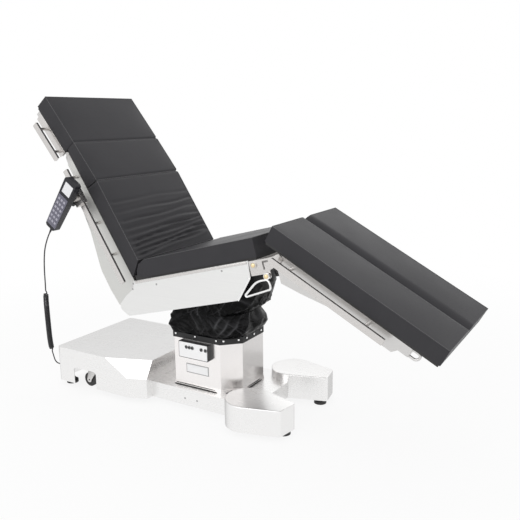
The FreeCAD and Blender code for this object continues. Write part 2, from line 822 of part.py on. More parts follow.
def make_lift():
    """Fixed outer guide, the inner guide that rises in it, and the yoke on top."""
    wall, gap = cell("tube_wall"), cell("running_gap")
    foot = cell("centre_height") - cell("cover_wall")
    node("column_outer_tube", square_tube("outer_guide", cell("outer_tube"), wall, foot,
                                          cell("outer_tube_top")), stand)
    middle_width = cell("outer_tube") - 2 * wall - 2 * gap
    node("column_middle_tube", square_tube("middle_guide", middle_width, wall, cell("middle_tube_low"),
                                           cell("middle_tube_top")), stand)
    inner_width = middle_width - 2 * wall - 2 * gap
    node("column_inner_tube", square_tube("inner_guide", inner_width, wall, cell("inner_tube_low"),
                                          cell("inner_tube_top")), stand)
    plate_low = cell("inner_tube_top")
    half = inner_width / 2
    ear_out = cell("yoke_ear_half_width")
    plate = box("yoke_plate", (-half, half), (-ear_out - 4, ear_out + 4),
                (plate_low, plate_low + cell("yoke_plate")))
    pieces = [plate]
    reach = cell("yoke_ear_width") / 2
    for index, hand in enumerate((-1, 1)):
        side = sorted((hand * (ear_out - cell("ear_plate")), hand * ear_out),
                      key=float)
        ear = Profile("yoke_ear_%d" % index, "side", side[0], side[1])
        ear.outline([(-reach - 12, plate_low + 2), (reach + 12, plate_low + 2),
                     (reach, cell("tilt_height")), (-reach, cell("tilt_height"))])
        ear.disc((0, cell("tilt_height")), reach)
        ear.hole((0, cell("tilt_height")), cell("tilt_pin") + gap)
        pieces.append(ear.body)
    node("tilt_yoke", fuse("tilt_yoke_sum", pieces), stand)


def make_tilt_cross():
    """Cross of the two tilt axes: pins across for the end tilt, pins along for the side tilt."""
    x, z = tilt_local.x, tilt_local.z
    half = cell("cross_body") / 2
    block = box("cross_block", (x - half, x + half), (-half - 12, half + 12), (z - half + 6, z + half - 6))
    across_reach = cell("yoke_ear_half_width") + 4
    along_reach = cell("seat_ear_half_width") + 4
    across = rod("cross_pin_y", "y", (x, -across_reach, z), 2 * across_reach, cell("tilt_pin"))
    along = rod("cross_pin_x", "x", (x - along_reach, 0, z), 2 * along_reach, cell("tilt_pin"))
    return node("tilt_cross", fuse("tilt_cross_sum", [block, across, along]), seat_place)


def loft_rings(name, rings):
    """A closed soft form through rings of the column's plan: (half_x, half_y, corner, middle_x, z)."""
    wires = []
    for half_x, half_y, corner, middle, z in rings:
        points = [V(float(u) + float(middle), float(v), float(z))
                  for u, v in column_plan(sized(half_x), sized(half_y), sized(corner),
                                          cell("shroud_head_corner"))]
        wires.append(Part.makePolygon(points + [points[0]]))
    piece = doc.addObject("Part::Feature", name)
    piece.Shape = Part.makeLoft(wires, True, True)
    return piece


def make_bellows():
    """Fabric bellows: a soft sleeve from the hem on the shroud up to the yoke, bulging below."""
    low, top = cell("hem_low") + cell("hem_height"), cell("bellows_top")
    x, y, corner = cell("shroud_half_x"), cell("shroud_half_y"), cell("shroud_corner")
    bulge = cell("bellows_bulge")
    height = top - low
    rings = [(x + 2, y + 2, corner, 0, low), (x + bulge, y + bulge * 0.6, corner + 4, 0, low + height * 0.4),
             (x + bulge * 0.5, y, corner, 0, low + height * 0.75), (x - 6, y - 4, corner, 0, top)]
    outer = loft_rings("bellows_outer", rings)
    half = cell("outer_tube") / 2 + cell("soft_gap") * 4
    hollow = box("bellows_hollow", (-half, half), (-half, half), (low - 20, top + 5))
    return node("bellows", cut("bellows_cut", outer, [hollow]), stand)


def make_hem_band():
    """Stitched hem of the bellows, buttoned round the top of the shroud."""
    low, high = cell("hem_low"), cell("hem_low") + cell("hem_height")
    band = ring_wall("hem", cell("hem_thickness"), cell("hem_thickness"), low, high)
    return node("hem_band", band, stand)


def slanted_ring(head, foot, half_y, corner, inset):
    """A ring of the column's plan in a slanted plane, between its head-side and foot-side points."""
    run = V(float(foot[0]) - float(head[0]), 0, float(foot[1]) - float(head[1]))
    middle = V(float(head[0]) + run.x / 2, 0, float(head[1]) + run.z / 2)
    along = V(run.x, 0, run.z)
    along.normalize()
    half = sized(run.Length / 2 - inset)
    points = [middle + along * float(u) + V(0, float(v), 0)
              for u, v in column_plan(half, half_y - inset, sized(corner), cell("shroud_head_corner"))]
    return Part.makePolygon(points + [points[0]])


def make_seat_skirt():
    """Upper fabric sleeve: it hangs from the seat frame, down to the bellows, and bags at the foot side."""
    low = cell("bellows_top") + cell("soft_gap")
    head, foot, half_y = cell("sleeve_head"), cell("sleeve_foot"), cell("sleeve_half_y")
    under = -(cell("seat_pad_thickness") + cell("pad_base") + cell("tray") + cell("beam_height"))
    to_stand = stand.inverse().multiply(seat_place)
    top_head = to_stand.multVec(V(8, 0, float(under)))
    top_foot = to_stand.multVec(V(404, 0, float(under)))
    spans = [((-head + 8, low), (head - 10, low)), ((-head, low + 15), (foot - 40, low + 56)),
             ((-head + 6, low + 46), (foot, low + 120)),
             ((top_head.x, top_head.z), (top_foot.x, top_foot.z))]
    walls = []
    for name, inset, reach in (("outer", 0, 0), ("inner", float(cell("sleeve_wall")), 2)):
        rings = []
        for index, (first, last) in enumerate(spans):
            shift = {0: -reach, len(spans) - 1: reach}.get(index, 0)
            first = (first[0], float(first[1]) + shift)
            last = (last[0], float(last[1]) + shift)
            rings.append(slanted_ring(first, last, half_y, 44 - inset * 0.6, inset))
        piece = doc.addObject("Part::Feature", "seat_skirt_" + name)
        piece.Shape = Part.makeLoft(rings, True, True)
        walls.append(piece)
    return node("seat_skirt", cut("seat_skirt_cut", walls[0], [walls[1]]), stand)


def make_control_box():
    """Control box on the column: a dark housing with a pale face and five push buttons."""
    head, foot = -cell("box_head"), cell("box_foot")
    low, high = cell("box_low"), cell("box_high")
    back = -cell("shroud_half_y")
    front = back - cell("box_depth")
    face, rim = cell("box_face"), cell("box_face_rim")
    corners = [(head, low), (foot, low), (foot, high), (head, high)]
    housing = Profile("control_housing_body", "side", front, back).outline(corners)
    housing.round(corners, cell("box_corner"))
    face_corners = [(head + rim, low + rim), (foot - rim, low + rim), (foot - rim, high - rim),
                    (head + rim, high - rim)]
    plate = Profile("control_face_body", "side", front - face, front).outline(face_corners)
    plate.round(face_corners, cell("box_corner") - 1)
    spots = [cell("button_pitch") * index - cell("button_first") for index in range(3)]
    spots += [cell("pair_first") + cell("pair_pitch") * index for index in range(2)]
    wells = []
    for index, x in enumerate(spots):
        z = cell("button_height")
        radius = cell("button_radius")
        proud, length = cell("button_proud"), cell("button_length")
        button = Profile("push_button_%d" % (index + 1), "side", front - face - proud,
                         front - face - proud + length).disc((x, z), radius)
        node("control_button_%d" % (index + 1), button.body, stand)
        wells.append(rod("button_well_%d" % index, "y", (x, front - face - 1, z), length + 1,
                         radius + cell("button_gap")))
    node("control_housing", cut("control_housing_cut", housing.body, wells), stand)
    node("control_face", cut("control_face_cut", plate.body, wells), stand)


def make_gland():
    """Cable gland of the hand control's cord on the head end of the block."""
    head = cell("block_head")
    flange = rod("gland_flange", "x", (-head - 5, GLAND_Y, GLAND_Z), 5, GLAND_RADIUS + 4)
    neck = rod("gland_neck", "x", (-head - 14, GLAND_Y, GLAND_Z), 10, GLAND_RADIUS)
    shank = rod("gland_shank", "x", (-head - 1, GLAND_Y, GLAND_Z), 8, GLAND_RADIUS)
    return node("cord_gland", fuse("cord_gland_sum", [flange, neck, shank]), stand)


# sections

def section_pad(name, outline, base_outline, half_low, half_high):
    """A padded cushion on its thin, slightly smaller base board."""
    inset = cell("pad_base_inset")
    top = Profile(name + "_foam", "side", half_low, half_high).outline(outline)
    base = Profile(name + "_board", "side", half_low + inset, half_high - inset).outline(base_outline)
    return fuse(name + "_sum", [top.body, base.body])


def plain_pad(name, head, foot, thickness, half_low, half_high):
    inset, base = cell("pad_base_inset"), cell("pad_base")
    outline = [(head, 0), (foot, 0), (foot, -thickness), (head, -thickness)]
    lower = [(head + inset, -thickness), (foot - inset, -thickness),
             (foot - inset, -thickness - base), (head + inset, -thickness - base)]
    return section_pad(name, outline, lower, half_low, half_high)


def rail_piece(name, head, foot, inner, spacers):
    """A side rail: a flat bar on round spacers that stand on the section's side."""
    out, thick = cell("rail_half_width"), cell("rail_thickness")
    top = -cell("rail_drop")
    bar_corners = [(head, top - cell("rail_height")), (foot, top - cell("rail_height")),
                   (foot, top), (head, top)]
    bar = Profile(name + "_bar", "side", -out, -out + thick).outline(bar_corners)
    bar.round(bar_corners, 3)
    pieces = [bar.body]
    for index, x in enumerate(spacers):
        pieces.append(rod("%s_spacer_%d" % (name, index), "y",
                          (x, -out + thick - 1, top - cell("rail_height") / 2),
                          out - thick + 1 - inner, cell("spacer_radius")))
    return fuse(name + "_sum", pieces)


def make_seat():
    half = cell("pad_half_width")
    length, thick = cell("seat_length"), cell("seat_pad_thickness")
    node("seat_pad", plain_pad("seat_pad_body", sized(0), length, thick, -half, half), seat_place)
    tray_top = -(thick + cell("pad_base"))
    beam_top = tray_top - cell("tray")
    beam_low = beam_top - cell("beam_height")
    foot = cell("seat_frame_foot")
    hinge_x, hinge_z = cell("back_hinge_x"), -cell("back_hinge_drop")
    pieces = [box("seat_tray", (12, foot), (-cell("inner_beam"), cell("inner_beam")),
                  (beam_top, tray_top))]
    for index, hand in enumerate((-1, 1)):
        side = sorted((hand * cell("inner_beam"), hand * (cell("inner_beam") - cell("beam_width"))),
                      key=float)
        beam = Profile("seat_beam_%d" % index, "side", side[0], side[1])
        beam.outline([(hinge_x, hinge_z - cell("hinge_eye")), (hinge_x + 60, beam_low), (foot, beam_low),
                      (foot, beam_top), (12, beam_top), (hinge_x, hinge_z + cell("hinge_eye") - 4)])
        beam.disc((hinge_x, hinge_z), cell("hinge_eye"))
        pieces.append(beam.body)
        reach = sorted((hand * (cell("inner_beam") - 2), hand * (cell("wing_half_width") + 1)), key=float)
        pieces.append(rod("back_pin_%d" % index, "y", (hinge_x, reach[0], hinge_z), reach[1] - reach[0],
                          cell("hinge_pin")))
        skin = cell("cover_half_width") - cell("cover_plate")
        stay = sorted((hand * (cell("inner_beam") - 1), hand * skin),
                      key=float)
        for number, x in enumerate((64, 330)):
            pieces.append(box("cover_stay_%d_%d" % (index, number), (x, x + 30), stay,
                              (beam_low + 4, beam_top - 4)))
    span = cell("inner_beam") - cell("beam_width") + 1
    ear, pin = cell("seat_ear_half_width"), cell("tilt_pin")
    x, z = tilt_local.x, tilt_local.z
    for index, hand in enumerate((-1, 1)):
        side = sorted((x + hand * (ear - cell("ear_plate")), x + hand * ear), key=float)
        member = Profile("seat_member_%d" % index, "end", side[0], side[1])
        member.outline([(-span, beam_low), (-44, beam_low), (-28, z), (28, z), (44, beam_low),
                        (span, beam_low), (span, beam_top), (-span, beam_top)])
        member.disc((0, z), 28)
        member.hole((0, z), pin + cell("running_gap"))
        pieces.append(member.body)
    pieces.append(box("seat_end_member", (foot - 20, foot), (-span, span), (beam_low, beam_top)))
    lug = Profile("centre_lug", "side", -6, 6)
    lug.outline([(foot - 4, beam_low), (cell("leg_hinge_x"), -cell("leg_hinge_drop") - 14),
                 (cell("leg_hinge_x"), -cell("leg_hinge_drop") + 7), (foot - 4, beam_top)])
    lug.disc((cell("leg_hinge_x"), -cell("leg_hinge_drop")), cell("leg_eye") - 2)
    lug.hole((cell("leg_hinge_x"), -cell("leg_hinge_drop")), cell("leg_shaft"))
    pieces.append(lug.body)
    node("seat_frame", fuse("seat_frame_sum", pieces), seat_place)


def make_seat_covers():
    """Side covers of the seat: round about the back hinge, slanted at the foot end, lipped below."""
    out, plate = cell("cover_half_width"), cell("cover_plate")
    top, bottom = -cell("cover_top"), -cell("cover_bottom")
    hinge = (cell("back_hinge_x"), -cell("back_hinge_drop"))
    nose = hinge[0] - cell("nose_reach")
    corners = [(hinge[0] - 58, bottom), (cell("slant_low"), bottom),
               (cell("slant_mid"), -cell("slant_mid_drop")), (cell("cover_foot"), top),
               (hinge[0] + 13, top), (hinge[0], hinge[1] - 10), (hinge[0] - 49, hinge[1] - 34),
               (nose, hinge[1] - 64), (nose, hinge[1] - 88)]
    panel = Profile("seat_cover_panel", "side", -out, -out + plate).outline(corners)
    panel.round([corners[0], corners[1], corners[8]], 24)
    panel.round([corners[2], corners[7]], 12)
    lip = box("seat_cover_lip", (hinge[0] + cell("wing_reach") - 45, cell("slant_low") - 18),
              (-out + plate / 2, -out + cell("cover_lip")), (bottom, bottom + plate))
    right = fuse("seat_cover_sum", [panel.body, lip])
    node("seat_cover_right", right, seat_place)
    node("seat_cover_left", mirrored("seat_cover_mirror", right, cell("stand_y")))


def make_hinge_parts():
    """Shaft of the leg hinge and the brackets that carry it."""
    leg_x, leg_z = cell("leg_hinge_x"), -cell("leg_hinge_drop")
    out, plate = cell("cover_half_width"), cell("bracket_plate")
    shaft = Profile("leg_shaft_bar", "side", -out, out).disc((leg_x, leg_z), cell("leg_shaft"))
    node("leg_hinge_shaft", shaft.body, seat_place)
    lever_x, lever_z = cell("lever_pin_x"), -cell("lever_pin_drop")
    head = cell("bracket_head")
    bracket_top = -(cell("seat_pad_thickness") + cell("pad_base") + cell("bracket_clearance"))
    corners = [(head, -cell("bracket_bottom")), (lever_x - 14, -cell("bracket_bottom")),
               (lever_x - 12, lever_z), (lever_x + 12, lever_z), (lever_x + 14, -cell("bracket_bottom") + 12),
               (leg_x + 4, leg_z - 20), (leg_x, leg_z + 14), (leg_x - 40, bracket_top),
               (head, bracket_top)]
    bracket = Profile("leg_bracket", "side", -out, -out + plate).outline(corners)
    bracket.disc((leg_x, leg_z), cell("leg_eye") - 0.5)
    bracket.disc((lever_x, lever_z), 12)
    bracket.hole((leg_x, leg_z), cell("leg_shaft"))
    slot_x = leg_x - 68
    bracket.window([(slot_x, -122), (slot_x + 7, -122), (slot_x + 7, -97), (slot_x + 26, -97),
                    (slot_x + 26, -90), (slot_x, -90)])
    tongue = box("leg_bracket_tongue", (head - 80, head + 32), (-out + plate - 1, -out + 2 * plate),
                 (-130, -92))
    spacer = box("leg_bracket_spacer", (head - 70, head - 20), (-out + 2 * plate - 1, -cell("inner_beam")),
                 (-120, -98))
    stud = rod("leg_bracket_stud", "y", (leg_x - 106, -out - 5, -100), 5.5, 13)
    lever_pin = rod("lever_pin", "y", (lever_x, -out - 14, lever_z), 15, 5)
    carrier = fuse("leg_bracket_sum", [bracket.body, tongue, spacer, stud, lever_pin])
    node("leg_brackets", both_sides("leg_brackets_group", carrier), seat_place)
    print_axis("lever", seat_place.multVec(V(float(lever_x), 0, float(lever_z))))


def make_lever():
    """Release lever of a leg: a wire triangle that hangs on a pin of the bracket."""
    lever_x, lever_z = float(cell("lever_pin_x")), -float(cell("lever_pin_drop"))
    y = -float(cell("cover_half_width")) - 9
    wire = float(cell("lever_wire"))
    points = [V(lever_x, y, lever_z - 12), V(lever_x - 48, y, lever_z - 13),
              V(lever_x - 86, y, lever_z - 40), V(lever_x - 122, y, lever_z - 66),
              V(lever_x - 62, y, lever_z - 58), V(lever_x + 5, y, lever_z - 49),
              V(lever_x + 7, y, lever_z - 30)]
    loop = bent_wire("lever_loop", points, wire, closed=True)
    eye = rod("lever_eye", "y", (lever_x, y - 4, lever_z), 8, 12)
    hole = rod("lever_eye_hole", "y", (lever_x, y - 6, lever_z), 12, 5 + float(cell("running_gap")))
    right = cut("release_lever_cut", fuse("release_lever_sum", [loop, eye]), [hole])
    node("release_lever_right", right, seat_place)
    node("release_lever_left", mirrored("release_lever_mirror", right, cell("stand_y")))


def frame_tray(name, head, foot, top):
    half = cell("tray_half_width")
    return box(name, (head, foot), (-half, half), (top - cell("tray"), top))


def make_lower_back():
    top = -(cell("pad_thickness") + cell("pad_base"))
    beam_top = top - cell("tray")
    beam_low = beam_top - cell("beam_height")
    hinge = (cell("back_hinge_d"), -cell("back_hinge_n"))
    neck = (cell("neck_hinge_d"), -cell("neck_hinge_n"))
    out, width, gap = cell("outer_beam"), cell("beam_width"), cell("running_gap")
    pieces = [frame_tray("lower_tray", neck[0] - 20, hinge[0] - 30, top)]
    for index, hand in enumerate((-1, 1)):
        side = sorted((hand * out, hand * (out - width)), key=float)
        beam = Profile("lower_beam_%d" % index, "side", side[0], side[1])
        beam.outline([(neck[0], neck[1] - cell("neck_eye")), (neck[0] + 50, beam_low),
                      (hinge[0] - 40, beam_low),
                      (hinge[0], hinge[1] - cell("hinge_eye") + 2), (hinge[0], hinge[1] + 12),
                      (hinge[0] - 30, beam_top), (neck[0], beam_top)])
        beam.disc(neck, cell("neck_eye"))
        beam.disc(hinge, cell("hinge_eye") - 2)
        beam.hole(neck, cell("neck_pin") + gap)
        beam.hole(hinge, cell("hinge_pin") + gap)
        pieces.append(beam.body)
    span = out - width + 1
    for index, x in enumerate((neck[0] + 60, 150, hinge[0] - 70)):
        pieces.append(box("lower_member_%d" % index, (x, x + 30), (-span, span), (beam_low + 8, beam_top)))
    node("lower_back_frame", fuse("lower_back_frame_sum", pieces), back_place)

    half, thick = cell("pad_half_width"), cell("pad_thickness")
    base, inset = cell("pad_base"), cell("pad_base_inset")
    foot = cell("back_hinge_d") - cell("lower_pad_short")
    mitre = cell("lower_pad_mitre")
    gap_soft = cell("soft_gap")
    outline = [(gap_soft, 0), (foot, 0), (foot + mitre, -thick), (gap_soft, -thick)]
    lower = [(gap_soft, -thick), (foot + mitre - inset, -thick), (foot + mitre - inset, -thick - base),
             (gap_soft, -thick - base)]
    node("back_pad_lower", section_pad("back_pad_lower_body", outline, lower, -half, half), back_place)
    head, drop, cant = -cell("middle_pad"), cell("middle_pad_drop"), cell("middle_pad_mitre")
    outline = [(head, -drop), (-gap_soft, 0), (-gap_soft, -thick), (head + cant, -thick)]
    lower = [(head + cant + inset, -thick), (-gap_soft, -thick), (-gap_soft, -thick - base),
             (head + cant + inset, -thick - base)]
    node("back_pad_middle", section_pad("back_pad_middle_body", outline, lower, -half, half), back_place)


def make_wings():
    """Side panels of the lower back: they widen towards the hinge and end round about it."""
    out, plate = cell("wing_half_width"), cell("wing_plate")
    top = -(cell("pad_thickness") + cell("pad_base"))
    hinge = (cell("back_hinge_d"), -cell("back_hinge_n"))
    reach = cell("wing_reach")
    corners = [(cell("wing_head"), top), (cell("wing_head"), top - 36), (8, top - 37), (46, -150),
               (158, -169),
               (318, hinge[1] - reach + 3), (hinge[0] - 42, hinge[1] - reach),
               (hinge[0] + 30, hinge[1] - reach + 6), (hinge[0] + 88, hinge[1] - 82),
               (hinge[0] + 40, hinge[1] - 12), (hinge[0] + 10, top)]
    panel = Profile("wing_panel", "side", -out, -out + plate).outline(corners)
    panel.round(corners[4:6], 150)
    panel.round(corners[7:9], 24)
    panel.hole(hinge, cell("hinge_pin") + cell("running_gap"))
    node("back_wings", both_sides("back_wings_group", panel.body), back_place)
    rail = rail_piece("lower_rail", cell("lower_rail_head"), cell("lower_rail_foot"), out, (-70, 150, 300))
    node("lower_back_rails", both_sides("lower_back_rails_group", rail), back_place)


def make_upper_back():
    top = -(cell("pad_thickness") + cell("pad_base"))
    beam_top = top - cell("tray")
    beam_low = beam_top - cell("beam_height") + 10
    neck = (cell("neck_own_d"), -cell("neck_own_n"))
    foot = cell("upper_pad") - 2
    half, gap = cell("tray_half_width"), cell("running_gap")
    pieces = [frame_tray("upper_tray", 8, foot, top)]
    inner, width = cell("inner_beam"), cell("beam_width")
    for index, hand in enumerate((-1, 1)):
        side = sorted((hand * (inner + 3), hand * (inner + 3 - width)), key=float)
        beam = Profile("upper_beam_%d" % index, "side", side[0], side[1])
        beam.outline([(20, beam_low), (neck[0] - 20, beam_low), (neck[0], neck[1] - cell("neck_eye") + 1),
                      (neck[0], neck[1]), (foot, beam_top), (20, beam_top)])
        beam.disc(neck, cell("neck_eye"))
        beam.hole(neck, cell("neck_pin"))
        pieces.append(beam.body)
        pin_side = hand * (inner + 3 - width + 2), hand * (cell("outer_beam") - 1)
        low = min(pin_side, key=float)
        pieces.append(rod("neck_pin_%d" % index, "y", (neck[0], low, neck[1]),
                          cell("outer_beam") - inner + width - 6, cell("neck_pin")))
        flange = sorted((hand * half, hand * (half - 4)), key=float)
        pieces.append(box("upper_flange_%d" % index, (10, foot), flange, (beam_low, top)))
    for index, x in enumerate((24, 180)):
        pieces.append(box("upper_member_%d" % index, (x, x + 26), (-half + 3, half - 3),
                          (beam_low + 6, beam_top)))
    node("upper_back_frame", fuse("upper_back_frame_sum", pieces), neck_place)
    pad_half, thick = cell("pad_half_width"), cell("pad_thickness")
    node("back_pad_upper", plain_pad("back_pad_upper_body", sized(0), cell("upper_pad"), thick,
                                     -pad_half, pad_half), neck_place)
    rail = rail_piece("upper_rail", cell("upper_rail_head"), cell("upper_rail_foot"), half, (95, 215))
    node("upper_back_rails", both_sides("upper_back_rails_group", rail), neck_place)


def make_leg_frame():
    """Frame of one leg section: two beams, a tray, a deep side panel and a wire grip at the end."""
    top = -(cell("pad_thickness") + cell("pad_base"))
    beam_top = top - cell("tray")
    beam_low = beam_top - cell("beam_height") + 4
    own = (cell("leg_own_d"), -cell("leg_own_n"))
    foot, head = cell("leg_frame_foot"), cell("leg_pad_head") + 12
    out, width, gap = cell("outer_beam"), cell("beam_width"), cell("running_gap")
    inner_side = cell("leg_split") + 8
    spans = {"outer": (-out + 1, -out + 1 + width), "inner": (-inner_side - width, -inner_side)}
    pieces = [box("leg_tray", (head, foot), (-cell("tray_half_width"), -inner_side), (beam_top, top))]
    for name, side in spans.items():
        beam = Profile("leg_beam_" + name, "side", side[0], side[1])
        beam.outline([(own[0], own[1] - cell("leg_eye") + 1), (own[0] + 30, beam_low), (foot, beam_low),
                      (foot, beam_top), (own[0], beam_top)])
        beam.disc(own, cell("leg_eye"))
        beam.hole(own, cell("leg_shaft") + gap)
        pieces.append(beam.body)
    for index, x in enumerate((own[0] + 40, 330, foot - 26)):
        pieces.append(box("leg_member_%d" % index, (x, x + 26), (-out + width, -inner_side - width + 1),
                          (beam_low + 8, beam_top)))
    plate = cell("wing_plate")
    deep, shallow = own[1] - 75, own[1] - 38
    corners = [(own[0], top), (own[0] - 16, own[1]), (own[0] + 8, own[1] - 30), (own[0] + 51, deep),
               (own[0] + 136, deep + 13), (own[0] + 256, shallow), (foot - 56, shallow),
               (foot - 40, beam_low), (foot - 2, beam_low), (foot - 2, top)]
    panel = Profile("leg_panel", "side", -out + 1 - plate, -out + 1).outline(corners)
    panel.hole(own, cell("leg_shaft") + gap)
    pieces.append(panel.body)
    y = -float(out) + 14
    end = float(foot)
    drop = float(beam_low)
    rise = float(beam_top) - 5
    grip = [V(end - 40, y, drop + 6), V(end - 12, y, drop), V(end + 24, y, drop), V(end + 33, y, drop + 14),
            V(end + 28, y, rise), V(end - 12, y, rise)]
    pieces.append(bent_wire("leg_grip", grip, cell("handle_wire")))
    return fuse("leg_frame_sum", pieces)


def make_legs():
    right = make_leg_frame()
    node("leg_frame_right", right, leg_place)
    node("leg_frame_left", mirrored("leg_frame_mirror", right, cell("stand_y")))
    pad = plain_pad("leg_pad_body", cell("leg_pad_head"), cell("leg_pad_foot"), cell("pad_thickness"),
                    -cell("pad_half_width"), -cell("leg_split"))
    node("leg_pad_right", pad, leg_place)
    node("leg_pad_left", mirrored("leg_pad_mirror", pad, cell("stand_y")))
    inner = cell("outer_beam") - 1 + cell("wing_plate")
    head, foot = cell("leg_rail_head"), cell("leg_rail_foot")
    rail = rail_piece("leg_rail", head, foot, inner, (head + 72, foot - 83))
    node("leg_rail_right", rail, leg_place)
    node("leg_rail_left", mirrored("leg_rail_mirror", rail, cell("stand_y")))


# hand control

def make_hand_control():
    """Clamp on the lower back's rail, the knob, the hand control and its cord."""
    head, foot = cell("clamp_head"), cell("clamp_foot")
    low, high = -cell("clamp_low"), -cell("clamp_high")
    out, rail_out = cell("clamp_half_width"), cell("rail_half_width")
    block = box("clamp_block", (head, foot), (-out, -rail_out + cell("rail_thickness") + 6), (low, high))
    slot = box("clamp_slot", (head - 2, foot + 2), (-rail_out, -rail_out + cell("rail_thickness")),
               (-cell("rail_drop") - cell("rail_height"), -cell("rail_drop")))
    throat = box("clamp_throat", (head - 2, foot + 2), (-rail_out + 2, -rail_out + 30),
                 (low - 1, -cell("rail_drop") - 12))
    back = cell("handset_y") + cell("handset_depth") / 2
    hanger = box("clamp_hanger", (head - 16, head + 40), (back, -out + 4), (low + 6, low + 34))
    clamp = cut("rail_clamp_cut", fuse("rail_clamp_sum", [block, hanger]), [slot, throat])
    node("rail_clamp", clamp, back_place)
    knob_x, knob_z = (head + foot) / 2 + 4, low - cell("knob_gap")
    knob = fuse("clamp_knob_sum", [rod("knob_grip", "z", (knob_x, -rail_out - 2, knob_z - 22), 16, 11),
                                   rod("knob_neck", "z", (knob_x, -rail_out - 2, knob_z - 7), 7, 4)])
    node("clamp_knob", knob, back_place)
    knob_dir = back_place.Rotation.multVec(V(0, 0, 1))
    print_axis("knob", back_place.multVec(V(float(knob_x), -float(rail_out) - 2, float(knob_z))), knob_dir)

    length, width, depth = cell("handset_length"), cell("handset_width"), cell("handset_depth")
    lean = FreeCAD.Rotation(V(0, 1, 0), float(cell("handset_lean")))
    place = stand.multiply(FreeCAD.Placement(
        V(float(cell("handset_x")), float(cell("handset_y")), float(cell("handset_z"))), lean))
    corners = [(-width / 2 + 7, -length / 2), (width / 2 - 7, -length / 2), (width / 2, length / 2),
               (-width / 2, length / 2)]
    shell = Profile("handset_shell", "side", -depth / 2, depth / 2).outline(corners)
    shell.round(corners, cell("handset_corner"))
    node("handset_body", shell.body, place)
    print_axis("handset", place.multVec(V(0, 0, 0)), lean.multVec(V(0, 0, 1)))
    make_cord(place, float(length) / 2)


def make_cord(place, reach):
    """Cord of the hand control: a thin straight stretch, then the curly stretch down to the gland."""
    exit_point = place.multVec(V(0, 0, -reach))
    down = place.Rotation.multVec(V(0, 0, -1))
    column = V(float(cell("stand_x")), float(cell("stand_y")), 0)
    relief = doc.addObject("Part::Cone", "relief_cone")
    relief.Radius1 = 6.5
    relief.Radius2 = float(cell("cord_diameter")) / 2 + 0.6
    relief.Height = 30
    relief.Placement = FreeCAD.Placement(exit_point, FreeCAD.Rotation(V(0, 0, 1), down))
    node("cord_relief", relief)
    start = exit_point + down * 30
    route = [start, start + down * 22] + [column + V(*point) for point in CORD_ROUTE]
    straight = bent_wire("handset_cord_tube", route, cell("cord_diameter") / 2)
    node("handset_cord", straight)
    coil_route = [column + V(*point) for point in COIL_ROUTE]
    coil_route.insert(0, route[-1])
    coil = bent_wire("cord_coil_tube", coil_route, cell("coil_diameter") / 2)
    node("cord_coil", coil)
    tail_route = [coil_route[-1]] + [column + V(*point) for point in TAIL_ROUTE]
    tail_route.append(column + V(-float(cell("block_head")) - 14, GLAND_Y, GLAND_Z))
    node("cord_tail", bent_wire("cord_tail_tube", tail_route, cell("cord_diameter") / 2))


CORD_ROUTE = [(-678, -352, 680), (-688, -352, 632), (-694, -351, 580), (-697, -349, 530), (-702, -346, 488)]
COIL_ROUTE = [(-712, -340, 440), (-722, -331, 392), (-734, -320, 344), (-748, -307, 296), (-763, -293, 248),
              (-777, -278, 202), (-789, -262, 160)]
TAIL_ROUTE = [(-797, -248, 126), (-804, -234, 96), (-810, -208, 74), (-813, -176, 64), (-802, -152, 62),
              (-790, -144, 62)]


print_axis("tilt", tilt_centre)
print_axis("side_tilt", tilt_centre, seat_place.Rotation.multVec(V(1, 0, 0)))
print_axis("back", seat_place.multVec(back_hinge))
print_axis("neck", back_place.multVec(neck_hinge))
print_axis("leg", seat_place.multVec(leg_hinge))

make_base_cover()
make_centre_cover()
make_foot_cover("foot_cover_right", -1)
make_foot_cover("foot_cover_left", 1)
make_chassis()
make_floor_feet()
for castor_name, castor_spot in castor_spots().items():
    make_castor(castor_name, castor_spot)
make_shroud()
make_lift()
make_tilt_cross()
make_bellows()
make_hem_band()
make_seat_skirt()
make_control_box()
make_gland()
make_seat()
make_seat_covers()
make_hinge_parts()
make_lever()
make_lower_back()
make_wings()
make_upper_back()
make_legs()
make_hand_control()

doc.recompute()

# every object has to be sound before anything is written
for item in doc.Objects:
    if "Invalid" in item.State or "Error" in item.State:
        raise RuntimeError("%s could not be made: %s" % (item.Label, item.State))
for name, piece in nodes.items():
    shape = piece.Shape
    if shape.isNull() or not shape.isValid() or not shape.Solids:
        raise RuntimeError("%s has no sound solid" % name)

low_corner = [min(getattr(piece.Shape.BoundBox, side) for name, piece in nodes.items()
                  if not name.startswith("cord_") and name != "handset_cord")
              for side in ("XMin", "YMin", "ZMin")]
high_corner = [max(getattr(piece.Shape.BoundBox, side) for name, piece in nodes.items()
                   if not name.startswith("cord_") and name != "handset_cord")
               for side in ("XMax", "YMax", "ZMax")]
print("outline without the cord", [round(value, 2) for value in low_corner],
      [round(value, 2) for value in high_corner])

os.makedirs("parts", exist_ok=True)
for name, piece in nodes.items():
    piece.Shape.exportStep("parts/%s.step" % name)
print("%d nodes" % len(nodes))
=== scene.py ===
# %% [markdown]
# An operating table with a split leg end, seen in a plain studio. The construction model brings
# every rigid piece at its true size, in metres: the stand, the column, the frames and the rails.
# This file gives those pieces their finishes and makes what a construction model can only hint
# at: the cushions, the cloth round the column, the curly cord, and the small trim.

# %% Load the construction model
import math

import bmesh
import bpy
from mathutils import Matrix, Vector, noise


